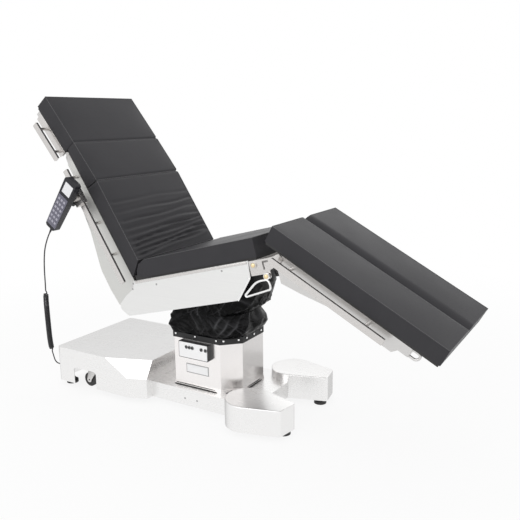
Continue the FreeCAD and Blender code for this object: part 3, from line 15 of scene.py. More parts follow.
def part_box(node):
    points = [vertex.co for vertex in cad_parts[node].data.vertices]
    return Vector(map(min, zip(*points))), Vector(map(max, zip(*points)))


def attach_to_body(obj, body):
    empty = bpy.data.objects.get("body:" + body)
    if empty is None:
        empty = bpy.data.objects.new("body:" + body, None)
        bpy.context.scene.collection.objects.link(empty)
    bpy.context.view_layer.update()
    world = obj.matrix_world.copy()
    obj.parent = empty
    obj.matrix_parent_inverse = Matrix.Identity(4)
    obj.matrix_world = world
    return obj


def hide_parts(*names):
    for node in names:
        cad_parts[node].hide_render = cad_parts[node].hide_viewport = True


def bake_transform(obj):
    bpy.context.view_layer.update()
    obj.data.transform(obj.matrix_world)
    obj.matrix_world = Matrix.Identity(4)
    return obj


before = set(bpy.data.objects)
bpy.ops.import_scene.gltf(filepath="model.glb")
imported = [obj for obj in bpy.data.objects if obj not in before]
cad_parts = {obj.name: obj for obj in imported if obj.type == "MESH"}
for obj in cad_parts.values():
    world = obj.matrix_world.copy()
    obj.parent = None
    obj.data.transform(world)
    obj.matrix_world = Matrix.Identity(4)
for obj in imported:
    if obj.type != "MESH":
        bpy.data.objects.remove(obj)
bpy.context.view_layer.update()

# %% [markdown]
# The table is a chain of sections, and each cushion or screw is easiest to place in the frame of
# the section that it belongs to: X along the cushion, Z out of it, and the cushion's top face at
# Z = 0. A section's place is found by going down the chain: column, seat, lower back, upper back,
# legs.

# %% Places of the sections
STAND_X, STAND_Y = -0.1398, 0.0275


def moved(x, y, z):
    """A shift without a turn."""
    return Matrix.Translation((x, y, z))


def tipped(degrees):
    """A turn about Y, the axis across the table."""
    return Matrix.Rotation(math.radians(degrees), 4, "Y")


def turned(parent, hinge, degrees, own):
    """The place of a section that turns about a hinge, given in its parent's frame and its own."""
    return parent @ moved(hinge[0], 0, hinge[1]) @ tipped(degrees) @ moved(-own[0], 0, -own[1])


STAND = moved(STAND_X, STAND_Y, 0)
SEAT = STAND @ moved(-0.221, 0, 0.656) @ tipped(-14.6)
LOWER_BACK = turned(SEAT, (-0.070, -0.102), 72.0, (0.4565, -0.093))
UPPER_BACK = turned(LOWER_BACK, (-0.163, -0.094), -5.9, (0.261, -0.0794))
LEGS = turned(SEAT, (0.646, -0.093), 43.0, (0.078, -0.092))
print("seat starts at", [round(v, 3) for v in SEAT.to_translation()])

# %% [markdown]
# Every finish starts from the same kind of material: one Principled shader whose plain values are
# set on its own sockets. What changes over the surface comes from node groups, made once below.

# %% A material and its nodes
def finish(name, colour, metallic=0.0, roughness=0.5, **sockets):
    """A material with one Principled shader; returns the material, its nodes and the shader."""
    made = bpy.data.materials.new(name)
    made.use_nodes = True
    shader = made.node_tree.nodes["Principled BSDF"]
    shader.inputs["Base Color"].default_value = (*colour, 1)
    shader.inputs["Metallic"].default_value = metallic
    shader.inputs["Roughness"].default_value = roughness
    for socket, value in sockets.items():
        shader.inputs[socket.replace("_", " ")].default_value = value
    return made, made.node_tree, shader


# %% [markdown]
# Nodes could be placed by hand in the editor. In code, a few helpers keep each material short:
# one makes a node, one sets a socket or links it, and one wires a finished grain into a shader. A
# node group is made once and used by many materials.

# %% Nodes and node groups
def place_node(tree, kind, **settings):
    node = tree.nodes.new(kind)
    for name, value in settings.items():
        setattr(node, name, value)
    return node


def new_group(name, inputs, outputs):
    """An empty node group with named numbers going in and coming out."""
    group = bpy.data.node_groups.new(name, "ShaderNodeTree")
    for label, value in inputs.items():
        socket = group.interface.new_socket(label, in_out="INPUT", socket_type="NodeSocketFloat")
        socket.default_value = value
    for label in outputs:
        group.interface.new_socket(label, in_out="OUTPUT", socket_type="NodeSocketFloat")
    return group, group.nodes.new("NodeGroupInput"), group.nodes.new("NodeGroupOutput")


def use_group(tree, group, **values):
    node = tree.nodes.new("ShaderNodeGroup")
    node.node_tree = group
    for label, value in values.items():
        node.inputs[label].default_value = value
    return node


def feed(tree, value, socket):
    """Sets a socket to a plain value, or links another socket to it."""
    if isinstance(value, (int, float, tuple)):
        socket.default_value = value
    else:
        tree.links.new(value, socket)


def math_node(tree, operation, *values):
    node = place_node(tree, "ShaderNodeMath", operation=operation)
    for value, socket in zip(values, node.inputs):
        feed(tree, value, socket)
    return node.outputs[0]


def noise_node(tree, spot, scale, detail):
    """Smooth noise, read at a spot."""
    texture = place_node(tree, "ShaderNodeTexNoise")
    for label, value in (("Vector", spot), ("Scale", scale), ("Detail", detail)):
        feed(tree, value, texture.inputs[label])
    return texture.outputs[0]


def mixed_colour(tree, factor, first, second, blend="MIX"):
    mix = place_node(tree, "ShaderNodeMix", data_type="RGBA", blend_type=blend)
    for value, number in ((factor, 0), (first, 6), (second, 7)):
        feed(tree, value, mix.inputs[number])
    return mix.outputs[2]


def add_grain(tree, shader, grain, colour, bump, deepest):
    """Lets a grain group roughen a shader and raise its bumps, and links the shader's colour."""
    relief = place_node(tree, "ShaderNodeBump")
    for value, socket in ((bump, relief.inputs["Strength"]), (deepest, relief.inputs["Distance"]),
                          (grain.outputs["Height"], relief.inputs["Height"]),
                          (relief.outputs["Normal"], shader.inputs["Normal"]),
                          (grain.outputs["Roughness"], shader.inputs["Roughness"]),
                          (colour, shader.inputs["Base Color"])):
        feed(tree, value, socket)


# %% [markdown]
# Brushed stainless steel is covered with very fine parallel scratches. They stretch each
# highlight across their direction, and the sheet shows slow, cloudy changes of gloss from
# handling. Noise squeezed in one direction gives the scratches, and a second, slow noise gives
# the clouds.

# %% Node group: brushed grain
def brushed_group():
    group, start, end = new_group(
        "brushed grain",
        {"Along": 3.0, "Across": 260.0, "Upward": 260.0, "Gloss": 0.25, "Spread": 0.12},
        ("Roughness", "Height", "Shade"))
    place = place_node(group, "ShaderNodeTexCoord").outputs["Object"]
    stretch = place_node(group, "ShaderNodeCombineXYZ")
    for axis, label in enumerate(("Along", "Across", "Upward")):
        feed(group, start.outputs[label], stretch.inputs[axis])
    scaled = place_node(group, "ShaderNodeVectorMath", operation="MULTIPLY")
    feed(group, place, scaled.inputs[0])
    feed(group, stretch.outputs[0], scaled.inputs[1])
    lines = noise_node(group, scaled.outputs[0], scale=1.0, detail=3.0)
    clouds = noise_node(group, place, scale=5.0, detail=2.0)
    centred = math_node(group, "SUBTRACT", lines, 0.5)
    grain = math_node(group, "MULTIPLY", centred, start.outputs["Spread"])
    slow = math_node(group, "MULTIPLY", math_node(group, "SUBTRACT", clouds, 0.5), 0.10)
    base = math_node(group, "ADD", start.outputs["Gloss"], grain)
    feed(group, math_node(group, "ADD", base, slow), end.inputs["Roughness"])
    feed(group, lines, end.inputs["Height"])
    feed(group, math_node(group, "MULTIPLY_ADD", centred, 0.06, 1.0), end.inputs["Shade"])
    return group


BRUSHED = brushed_group()
print("made the node group", BRUSHED.name)

# %% [markdown]
# Coated cushion cloth is matte black with a fine leather-like grain. Seen close, the grain breaks
# the highlight into tiny cells. The colour is not even either: handling leaves faint greyish
# patches.

# %% Node group: coated cloth grain
def cloth_group():
    group, start, end = new_group(
        "coated cloth grain", {"Cells": 900.0, "Patches": 7.0, "Gloss": 0.48},
        ("Roughness", "Height", "Patch"))
    place = place_node(group, "ShaderNodeTexCoord").outputs["Object"]
    cells = place_node(group, "ShaderNodeTexVoronoi", feature="SMOOTH_F1")
    feed(group, place, cells.inputs["Vector"])
    feed(group, start.outputs["Cells"], cells.inputs["Scale"])
    patches = noise_node(group, place, scale=start.outputs["Patches"], detail=4.0)
    uneven = math_node(group, "MULTIPLY", math_node(group, "SUBTRACT", patches, 0.5), 0.18)
    feed(group, math_node(group, "ADD", start.outputs["Gloss"], uneven), end.inputs["Roughness"])
    feed(group, cells.outputs["Distance"], end.inputs["Height"])
    feed(group, patches, end.inputs["Patch"])
    return group


CLOTH = cloth_group()
print("made the node group", CLOTH.name)

# %% [markdown]
# The metal finishes differ in colour, in gloss and in the way they are brushed. Two of them also
# dim what is seen at a grazing angle, and the column's carries painted shade: it is darker on the
# faces that look towards the foot end. One function makes them all.

# %% Brushed metal finishes
LENGTHWISE = (4.0, 300.0, 300.0)
UPRIGHT = (300.0, 300.0, 4.0)


def brushed_metal(name, colour, gloss, along=LENGTHWISE, bump=0.02, metallic=1.0, edge=1.0,
                  painted_foot_shade=0.0):
    """Brushed metal; edge dims grazing reflections, and painted shade darkens the foot-facing
    faces.
    """
    made, tree, shader = finish(name, colour, metallic, gloss,
                                Specular_Tint=(edge, edge, edge, 1))
    grain = use_group(tree, BRUSHED, Gloss=gloss, Along=along[0], Across=along[1],
                      Upward=along[2])
    shade = grain.outputs["Shade"]
    # painted shade: the faces that look towards the foot end are darkened
    if painted_foot_shade:
        parts = place_node(tree, "ShaderNodeSeparateXYZ")
        feed(tree, place_node(tree, "ShaderNodeTexCoord").outputs["Normal"], parts.inputs[0])
        faces_foot = math_node(tree, "MAXIMUM", parts.outputs["X"], 0.0)
        painted_shade = math_node(tree, "MULTIPLY", math_node(tree, "POWER", faces_foot, 4.0), painted_foot_shade)
        shade = math_node(tree, "SUBTRACT", shade, painted_shade)
    shown = mixed_colour(tree, 1.0, (*colour, 1), shade, blend="MULTIPLY")
    add_grain(tree, shader, grain, shown, bump, 0.0004)
    return made


STAINLESS = brushed_metal("brushed stainless sheet", (0.90, 0.895, 0.89), 0.28, edge=0.60)
# the column's sheets carry painted shade on the faces towards the foot end
COLUMN_STEEL = brushed_metal("stainless column sheet", (0.93, 0.905, 0.895), 0.24, UPRIGHT,
                             edge=0.85, painted_foot_shade=0.26)
PALE_PANEL = brushed_metal("satin side panel", (0.82, 0.82, 0.812), 0.38, metallic=0.8)
WING_PANEL = brushed_metal("satin wing panel", (0.67, 0.67, 0.65), 0.38, metallic=0.8)
RAIL_STEEL = brushed_metal("satin rail steel", (0.67, 0.65, 0.635), 0.26)
FRAME_STEEL = brushed_metal("satin frame steel", (0.66, 0.65, 0.64), 0.32)
SCREW_STEEL = brushed_metal("dull screw steel", (0.42, 0.42, 0.42), 0.35)
BRIGHT_WIRE = brushed_metal("polished wire", (0.90, 0.90, 0.90), 0.12, bump=0.005)
GOLD_PIN = brushed_metal("yellow plated pin", (0.88, 0.72, 0.44), 0.28)
print("finishes so far:", len(bpy.data.materials))

# %% [markdown]
# The cushions, the sleeve, the plastic and the painted chassis are not metal. Each takes the
# cloth grain at its own size, with a bump so small that it only shows in the highlights.

# %% Cloth, rubber and plastic finishes
def coated_cloth(name, colour, pale, gloss, cells, bump, painted_highlight=None, **sockets):
    """Coated cloth, rubber or plastic; an optional pale colour paints highlight where the mesh's
    mask is.
    """
    made, tree, shader = finish(name, colour, 0.0, gloss, **sockets)
    grain = use_group(tree, CLOTH, Gloss=gloss, Cells=cells)
    shown = mixed_colour(tree, grain.outputs["Patch"], (*colour, 1), (*pale, 1))
    if painted_highlight is not None:
        highlight_mask = place_node(tree, "ShaderNodeAttribute", attribute_name="highlight_mask")
        shown = mixed_colour(tree, highlight_mask.outputs["Fac"], shown, (*painted_highlight, 1))
    add_grain(tree, shader, grain, shown, bump, 0.0006)
    return made


CUSHION = coated_cloth("cushion cloth", (0.040, 0.0392, 0.043), (0.053, 0.052, 0.056),
                       0.40, 900.0, 0.12, Specular_IOR_Level=0.10)
# the seam's cloth is painted paler than the cushion's, a painted highlight along the top edges
SEAM_PAINTED_HIGHLIGHT = coated_cloth("welded seam with painted highlight", (0.095, 0.094, 0.098), (0.120, 0.119, 0.123),
                    0.40, 900.0, 0.10, Specular_IOR_Level=0.20)
# the pale colour is a painted highlight on the ridges and a painted sheen on what faces up
SLEEVE = coated_cloth("sleeve cloth", (0.0012, 0.0012, 0.0014), (0.003, 0.003, 0.0033),
                      0.25, 700.0, 0.06, painted_highlight=(0.085, 0.085, 0.090), Specular_IOR_Level=0.08)
HEM = coated_cloth("woven hem", (0.022, 0.022, 0.023), (0.034, 0.034, 0.035),
                   0.55, 420.0, 0.35, Specular_IOR_Level=0.30)
RUBBER = coated_cloth("dark rubber", (0.020, 0.020, 0.021), (0.035, 0.034, 0.033),
                      0.60, 500.0, 0.20)
CORD_SKIN = coated_cloth("cord skin", (0.010, 0.010, 0.012), (0.016, 0.016, 0.018),
                         0.38, 1200.0, 0.05)
DARK_PLASTIC = coated_cloth("dark moulded plastic", (0.016, 0.016, 0.018), (0.024, 0.024, 0.027),
                            0.40, 1500.0, 0.15)
HANDSET_SHELL = coated_cloth("hand control shell", (0.010, 0.010, 0.014), (0.016, 0.016, 0.021),
                             0.36, 1500.0, 0.12, Specular_IOR_Level=0.35)
CHASSIS_PAINT = coated_cloth("chassis paint", (0.13, 0.13, 0.135), (0.18, 0.18, 0.185),
                             0.45, 300.0, 0.1)
WHITE_FACE = coated_cloth("pale control face", (0.93, 0.93, 0.94), (0.97, 0.97, 0.97),
                          0.30, 1500.0, 0.04)
print("finishes so far:", len(bpy.data.materials))

# %% [markdown]
# The rigid pieces keep the shapes of the construction model. Each one takes the finish of its
# kind, and nothing else about it changes.

# %% Finishes of the rigid pieces
def sides(*names):
    return [name + end for name in names for end in ("_left", "_right")]


FINISHES = {
    STAINLESS: ["base_cover", "centre_cover"] + sides("foot_cover"),
    COLUMN_STEEL: ["column_shroud", "column_outer_tube", "column_middle_tube",
                   "column_inner_tube"],
    PALE_PANEL: sides("seat_cover"),
    WING_PANEL: ["back_wings"],
    RAIL_STEEL: ["lower_back_rails", "upper_back_rails", "leg_brackets", "leg_hinge_shaft",
                 "rail_clamp"] + sides("leg_rail"),
    FRAME_STEEL: ["seat_frame", "lower_back_frame", "upper_back_frame"]
                 + sides("leg_frame", "castor_fork_head", "castor_fork_foot"),
    CHASSIS_PAINT: ["base_chassis", "tilt_yoke", "tilt_cross"],
    BRIGHT_WIRE: sides("release_lever"),
    DARK_PLASTIC: ["control_housing", "clamp_knob", "cord_gland", "cord_relief"]
                  + ["control_button_%d" % number for number in range(1, 6)],
    WHITE_FACE: ["control_face"],
    HANDSET_SHELL: ["handset_body"],
    SLEEVE: ["bellows", "seat_skirt"],
    HEM: ["hem_band"],
    RUBBER: ["floor_feet"] + sides("castor_wheel_head", "castor_wheel_foot"),
    CUSHION: ["back_pad_upper", "back_pad_middle", "back_pad_lower", "seat_pad"]
             + sides("leg_pad"),
    CORD_SKIN: ["handset_cord", "cord_coil", "cord_tail"],
}
for material, names in FINISHES.items():
    for name in names:
        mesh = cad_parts[name].data
        mesh.materials.clear()
        mesh.materials.append(material)
dressed = sum(len(names) for names in FINISHES.values())
print("dressed", dressed, "of", len(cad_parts), "pieces of the construction model")

# %% [markdown]
# A cushion is a foam slab in a welded cover: flat faces, crisp seams, and a slight swell between
# the seams. Its shape is drawn as a side outline and stretched across the table, then cut into a
# regular net of cells so that cloth simulation has something to bend.

# %% Cut a slab into a net of cells
CELL = 0.010
ON_SEAM = 0.002


def mesh_of(net, name):
    """Turns a bmesh net into a mesh."""
    mesh = bpy.data.meshes.new(name)
    net.to_mesh(mesh)
    net.free()
    return mesh


def evaluated(piece):
    return piece.evaluated_get(bpy.context.evaluated_depsgraph_get())


def slab_mesh(name, outline, low, high, cell):
    """A slab with the given side outline (x, z), cut by planes into cells of the given size."""
    net = bmesh.new()
    near = [net.verts.new((x, low, z)) for x, z in outline]
    net.faces.new(near)
    far = [net.verts.new((x, high, z)) for x, z in outline]
    net.faces.new(list(reversed(far)))
    for index in range(len(outline)):
        after = (index + 1) % len(outline)
        net.faces.new((near[after], near[index], far[index], far[after]))
    bmesh.ops.recalc_face_normals(net, faces=net.faces)
    for axis in range(3):
        values = [vertex.co[axis] for vertex in net.verts]
        first, last = min(values), max(values)
        steps = max(2, round((last - first) / cell))
        for step in range(1, steps):
            point, normal = Vector((0, 0, 0)), Vector((0, 0, 0))
            point[axis] = first + (last - first) * step / steps
            normal[axis] = 1
            whole = net.verts[:] + net.edges[:] + net.faces[:]
            bmesh.ops.bisect_plane(net, geom=whole, dist=1e-6, plane_co=point, plane_no=normal)
    return mesh_of(net, name)


def seam_distance(point, outline, low, high):
    """How far a point of the slab is from the nearest of its seams, the edges of the slab."""
    sides = min(abs(point.y - low), abs(point.y - high))
    to_line, to_corner = math.inf, math.inf
    for index, (x, z) in enumerate(outline):
        x2, z2 = outline[(index + 1) % len(outline)]
        run = Vector((x2 - x, z2 - z))
        away = Vector((point.x - x, point.z - z))
        share = max(0.0, min(1.0, (away @ run) / run.length_squared))
        to_line = min(to_line, (away - run * share).length)
        to_corner = min(to_corner, math.hypot(point.x - x, point.z - z))
    return min(math.hypot(sides, to_line), to_corner)


# %% [markdown]
# The swell comes from a short cloth simulation: the seams are pinned, a little air pressure
# pushes the cover out for twenty frames, gravity is off, and no point may move further than a
# cap. The result is then written into the mesh, so that nothing is left to simulate.

# %% Swell a slab between its seams
SWELL_FRAMES = 20


def swell(slab, outline, low, high, cap):
    """Blows the slab up a little with cloth simulation; its seams and its underside stay put."""
    rest = [vertex.co.copy() for vertex in slab.data.vertices]
    floor = min(z for x, z in outline)
    pins = slab.vertex_groups.new(name="seams")
    for index, point in enumerate(rest):
        if seam_distance(point, outline, low, high) < ON_SEAM or point.z < floor + 0.001:
            pins.add([index], 1.0, "REPLACE")
    cloth = slab.modifiers.new("air", "CLOTH")
    for label, value in (("quality", 4), ("mass", 0.3), ("tension_stiffness", 25),
                         ("compression_stiffness", 25), ("shear_stiffness", 15),
                         ("bending_stiffness", 2.0), ("use_pressure", True),
                         ("uniform_pressure_force", 4), ("vertex_group_mass", "seams")):
        setattr(cloth.settings, label, value)
    cloth.settings.effector_weights.gravity = 0
    cloth.collision_settings.use_self_collision = False
    scene = bpy.context.scene
    for number in range(1, SWELL_FRAMES + 1):
        scene.frame_set(number)
    blown = evaluated(slab).to_mesh()
    moves = [blown.vertices[index].co - rest[index] for index in range(len(rest))]
    evaluated(slab).to_mesh_clear()
    slab.modifiers.remove(cloth)
    scene.frame_set(1)
    most = max(move.length for move in moves) or 1.0
    for index, vertex in enumerate(slab.data.vertices):
        vertex.co = rest[index] + moves[index] * min(1.0, cap / most)
    print(slab.name, "swelled by", round(min(most, cap) * 1000, 1), "mm")


# %% [markdown]
# The same few steps come back in almost every piece: put a mesh in the scene, give it to a body
# of the table, join small parts, and turn a line of points into a tube. A curve with a bevel is
# the easiest way to a tube, and its mesh is read back once it is made.

# %% Small tools for meshes and curves
def link(name, mesh, material, place=None):
    """A smooth piece of one material at a place."""
    piece = bpy.data.objects.new(name, mesh)
    bpy.context.collection.objects.link(piece)
    mesh.materials.clear()
    mesh.materials.append(material)
    for face in mesh.polygons:
        face.use_smooth = True
    if place is not None:
        piece.matrix_world = place
    return piece


def attach(piece, body):
    """Lets a piece ride on a body."""
    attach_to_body(piece, body)


def join(parts, name):
    """Joins the given objects into the first one."""
    bpy.ops.object.select_all(action="DESELECT")
    for part in parts:
        part.select_set(True)
    bpy.context.view_layer.objects.active = parts[0]
    bpy.ops.object.join()
    parts[0].name = name
    return parts[0]


def curve_through(name, points, kind="POLY", samples=12):
    """A curve through the given points, and its one run."""
    curve = bpy.data.curves.new(name, "CURVE")
    curve.dimensions = "3D"
    curve.resolution_u = samples
    run = curve.splines.new(kind)
    run.points.add(len(points) - 1)
    for point, where in zip(run.points, points):
        point.co = (*where, 1)
    return curve, run


def curve_mesh(curve):
    """The mesh that a curve makes."""
    holder = bpy.data.objects.new(curve.name, curve)
    bpy.context.collection.objects.link(holder)
    mesh = bpy.data.meshes.new_from_object(evaluated(holder))
    bpy.data.objects.remove(holder)
    return mesh


def ring_tube(name, points, radius):
    """A round tube along a closed ring of points."""
    curve, run = curve_through(name, points)
    curve.bevel_depth = radius
    curve.bevel_resolution = 2
    run.use_cyclic_u = True
    return curve_mesh(curve)


# %% [markdown]
# Where two faces of the cover meet, the cloth is welded into a thin raised seam. It shows as a
# fine pale line along the top of every cushion, so it is made as its own thin tube, in cloth
# painted paler than the cushion's: a painted highlight.

# %% Seams, grooves and crisp edges
CRISP, SHARP = 40, 48


def steep_edges(net, degrees):
    """Edges where two faces meet at more than the given angle."""
    return [edge for edge in net.edges
            if len(edge.link_faces) == 2 and edge.calc_face_angle(0) > math.radians(degrees)]


def refine(slab):
    """Halves the cells of a slab with one subdivision that keeps its seams crisp."""
    net = bmesh.new()
    net.from_mesh(slab.data)
    crease = net.edges.layers.float.new("crease_edge")
    for edge in steep_edges(net, CRISP):
        edge[crease] = 1.0
    net.to_mesh(slab.data)
    net.free()
    finer = slab.modifiers.new("finer", "SUBSURF")
    finer.levels = 1
    finer.render_levels = 1
    smooth = bpy.data.meshes.new_from_object(evaluated(slab))
    slab.modifiers.remove(finer)
    slab.data = smooth
    for face in smooth.polygons:
        face.use_smooth = True


def tucked(point, outline, low, high, ends):
    """Pulls the cover in where two cushions meet, so that a dark groove shows between them."""
    top = max(z for x, z in outline)
    reach, depth, top_band, side_band = 0.009, 0.0045, 0.030, 0.012
    for end in ends:
        near = 1 - abs(point.x - end) / reach
        if near <= 0:
            continue
        pull = depth * near * near
        if point.z > top - top_band:
            point.z -= pull
        if abs(point.y - low) < side_band:
            point.y += pull
        if abs(point.y - high) < side_band:
            point.y -= pull
    return point


def mark_sharp(mesh):
    """Keeps steep edges sharp."""
    net = bmesh.new()
    net.from_mesh(mesh)
    for edge in steep_edges(net, SHARP):
        edge.smooth = False
    net.to_mesh(mesh)
    net.free()


# %% [markdown]
# A cushion is then put together: the slab is swelled, refined and tucked in, the seam runs round
# its top, and a thin dark board closes it from below. The finished piece stands for the plain
# block of the construction model.

# %% Put a cushion together
SWELL = 0.005
BOARD = 0.010
BOARD_INSET = 0.005
SEAM_RADIUS = 0.0010
SEAM_STEPS = 60


def top_rim(outline, low, high):
    """Points along the four seams round the top of a slab."""
    first, last = sorted(sorted(outline, key=lambda corner: -corner[1])[:2])
    corners = [(first, low), (last, low), (last, high), (first, high)]
    rim = []
    for ((x1, z1), y1), ((x2, z2), y2) in zip(corners, corners[1:] + corners[:1]):
        for step in range(SEAM_STEPS):
            share = step / SEAM_STEPS
            rim.append(Vector((x1 + (x2 - x1) * share, y1 + (y2 - y1) * share,
                               z1 + (z2 - z1) * share)))
    return rim


def cushion(name, outline, board, low, high, place, body, node, shape=None, ends=()):
    """A welded foam cushion on its base board. The shape function moves points last."""
    slab = link(name + "_foam", slab_mesh(name, outline, low, high, CELL), CUSHION)
    blow = swell
    blow(slab, outline, low, high, SWELL)
    refine(slab)
    rim = top_rim(outline, low, high)
    parts = [slab, link(name + "_seam", ring_tube(name + "_seam", rim, SEAM_RADIUS), SEAM_PAINTED_HIGHLIGHT)]
    for part in parts:
        for vertex in part.data.vertices:
            spot = tucked(vertex.co.copy(), outline, low, high, ends)
            vertex.co = shape(spot) if shape else spot
    base = slab_mesh(name + "_board", board, low + BOARD_INSET, high - BOARD_INSET, 0.5)
    parts.append(link(name + "_base", base, RUBBER))
    for face in base.polygons:
        face.use_smooth = False
    piece = join(parts, name)
    mark_sharp(piece.data)
    piece.matrix_world = place
    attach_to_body(piece, body)
    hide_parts(node)


# %% [markdown]
# The three cushions of the back lean on each other: the middle one is a wedge, and the lower one
# ends in a mitre at the seat. The lower one has been sat against for years. Its cover has
# stretched, and lies in long shallow folds that fan out from the near side and crowd together
# near the seat.

# %% Cushions of the back
THICK = 0.064
HALF = 0.270


def plain_outline(head, foot, thick=THICK):
    return [(head, 0), (foot, 0), (foot, -thick), (head, -thick)]


def plain_board(head, foot):
    return [(head, -THICK), (foot, -THICK), (foot, -THICK - BOARD), (head, -THICK - BOARD)]


def inset_board(head, foot):
    return plain_board(head + BOARD_INSET, foot - BOARD_INSET)


# where each fold lies along the cushion, and how deep it is
FOLDS = [(0.112, 0.0026), (0.160, 0.0042), (0.204, 0.0050), (0.240, 0.0042), (0.270, 0.0064),
         (0.298, 0.0056), (0.322, 0.0068), (0.344, 0.0070), (0.362, 0.0056)]
FOLD_WIDTH = 0.0072


def worn_folds(point):
    """Long shallow folds across the lower back cushion, fanning out towards the far side."""
    if point.z < -0.012:
        return point
    across = (point.y + HALF) / (2 * HALF)
    along = point.x + 0.050 * across * max(0.0, point.x / 0.378) ** 1.5
    edge = min(1.0, across / 0.06) * min(1.0, (1 - across) / 0.04)
    wave = 0.0
    for number, (where, depth) in enumerate(FOLDS):
        waver = 0.006 * math.sin(9.0 * across + number * 1.7) * across
        fade = 0.72 + 0.28 * math.cos(5.0 * across + number * 2.3)
        offset = (along - where - waver) / FOLD_WIDTH
        ridge = math.exp(-offset * offset) - 0.55 * math.exp(-(offset - 1.6) ** 2)
        wave += depth * fade * ridge
    point.z -= wave * edge
    return point


MITRE = [(0.0014, 0), (0.378, 0), (0.424, -THICK), (0.0014, -THICK)]
WEDGE = [(-0.193, -0.017), (-0.0014, 0), (-0.0014, -THICK), (-0.185, -THICK)]
cushion("upper_back_cushion", plain_outline(0.0, 0.238), inset_board(0.0, 0.238),
        -HALF, HALF, UPPER_BACK, "upper_back", "back_pad_upper", ends=(0.238,))
cushion("middle_back_cushion", WEDGE, plain_board(-0.180, -0.0008),
        -HALF, HALF, LOWER_BACK, "lower_back", "back_pad_middle", ends=(-0.193, -0.0014))
cushion("lower_back_cushion", MITRE, plain_board(0.0008, 0.419),
        -HALF, HALF, LOWER_BACK, "lower_back", "back_pad_lower", shape=worn_folds,
        ends=(0.0014,))

# %% [markdown]
# The seat cushion is thicker, and its head end is rolled over where the back leans on it. The
# rolled end gathers in small upright puckers. The leg cushions fall away a little towards the
# split between them, which makes the dark valley down the middle of the leg end.

# %% Cushions of the seat and legs
SEAT_THICK = 0.072
# heights down the rolled end, and how far it reaches there
ROLL = [(0.000, 0.004), (-0.014, -0.012), (-0.026, -0.019), (-0.040, -0.026), (-0.056, -0.030),
        (-0.072, -0.020)]


def roll_edge(height):
    """How far the rolled head end of the seat cushion reaches at a height."""
    for (z1, x1), (z2, x2) in zip(ROLL, ROLL[1:]):
        if height >= z2:
            return x1 + (x2 - x1) * (z1 - height) / (z1 - z2)
    return ROLL[-1][1]


def rolled_head(point):
    """Rolls the head end of the seat cushion over, against the back, and gathers it in puckers."""
    reach = 0.040
    if point.x >= reach:
        return point
    share = min(1.0, (reach - point.x) / reach)
    share = share * share * (3 - 2 * share)
    height = max(-SEAT_THICK, min(0.0, point.z))
    point.x += roll_edge(height) * share
    round_top = max(0.0, 1 + height / 0.016)
    round_foot = max(0.0, (-0.056 - height) / 0.016)
    point.z -= 0.009 * share * share * round_top
    point.z += 0.005 * share * share * round_foot
    gather = math.sin(point.y * 190 + 3 * math.sin(point.y * 37))
    point.x += 0.0020 * share * gather
    side = min(1.0, max(0.0, (abs(point.y) - HALF + 0.030) / 0.030)) * share
    ripple = 0.0
    for line in (-0.018, -0.006, 0.008):
        bent = line + 7.0 * (height + 0.038) ** 2
        ripple += math.exp(-((point.x - bent) / 0.0032) ** 2)
    point.y -= math.copysign(0.0026 * side * ripple, point.y)
    return point


def valley(point):
    """Lets the inner edge of a leg cushion fall away towards the split."""
    width, depth, lowest = 0.046, 0.014, 0.050
    inward = width - abs(point.y)
    if inward > 0 and point.z > -lowest:
        share = inward / width
        point.z -= depth * share * share * (1 + point.z / lowest)
    return point


seat_board = [(-0.046, -0.059), (0.004, -0.059), (0.004, -0.071), (0.555, -0.071),
              (0.555, -0.082), (-0.046, -0.082)]
cushion("seat_cushion", plain_outline(0.0, 0.560, SEAT_THICK), seat_board, -HALF, HALF, SEAT,
        "seat", "seat_pad", shape=rolled_head)
for side, low, high in (("right", -HALF, -0.002), ("left", 0.002, HALF)):
    cushion("leg_cushion_" + side, plain_outline(0.003, 0.739), inset_board(0.003, 0.739),
            low, high, LEGS, "leg_" + side, "leg_pad_" + side, shape=valley)

# %% [markdown]
# The sleeve round the column is a bag of thin coated cloth. It is held to the shroud along a
# stitched hem, and when the table is low the spare cloth bulges and is crushed. Each part is a
# tube through a few rings. Noise stretched along two slants crosses zero along thin lines, and a
# ridge of cloth stands on each line. Its colour carries a painted highlight along the ridges and
# a painted sheen on what faces up.

# %% Cloth sleeve round the column
SLEEVE_SIDES = 360
SLEEVE_MIDDLE_Z = 0.38
SLEEVE_RADIUS = 0.165


def column_reach(angle, half_x, half_y, corner):
    """How far the column's plan reaches in a direction: wide cut corners at the foot end only."""
    c, s = math.cos(angle), abs(math.sin(angle))
    power = 14.0 if c > 0 else 22.0
    flat = ((abs(c) / half_x) ** power + (s / half_y) ** power) ** (1 / power)
    if c > 0:
        cut = (c + s) / (half_x + half_y - corner)
        flat = (flat ** power + cut ** power) ** (1 / power)
    return 1 / flat


def crush(angle, height, twist, spacing, seed):
    """Slanted ridges of crushed cloth, 1 on a ridge: where stretched noise passes through zero."""
    slanted = angle + twist * (height - SLEEVE_MIDDLE_Z)
    around = SLEEVE_RADIUS / spacing
    spot = Vector((math.cos(slanted) * around, math.sin(slanted) * around,
                   height / spacing * 0.30 + seed))
    return 1 - min(1.0, abs(noise.noise(spot)) * 2.4)


def creases(angle, height):
    """Height of the crushed cloth from 0 to 1, and how much painted highlight its ridges take."""
    slanted = max(crush(angle, height, 5.5, 0.085, 3.1), crush(angle, height, -4.5, 0.095, 8.7))
    small = max(crush(angle, height, 9.0, 0.040, 1.7), crush(angle, height, -7.0, 0.046, 5.2))
    around = Vector((math.cos(angle) * 1.6, math.sin(angle) * 1.6, height * 9))
    lift = 0.72 * slanted + 0.28 * small + 0.5 * noise.noise(around)
    patch = 0.35 + 1.8 * noise.noise(around * 1.9 + Vector((4.0, 0, 0)))
    # painted highlight on the sharpest ridges, laid in uneven patches
    painted_highlight = (0.8 * max(0.0, (slanted - 0.86) / 0.14) ** 2
              + 0.3 * max(0.0, (small - 0.90) / 0.10) ** 2)
    return lift, painted_highlight * max(0.0, min(1.0, patch))


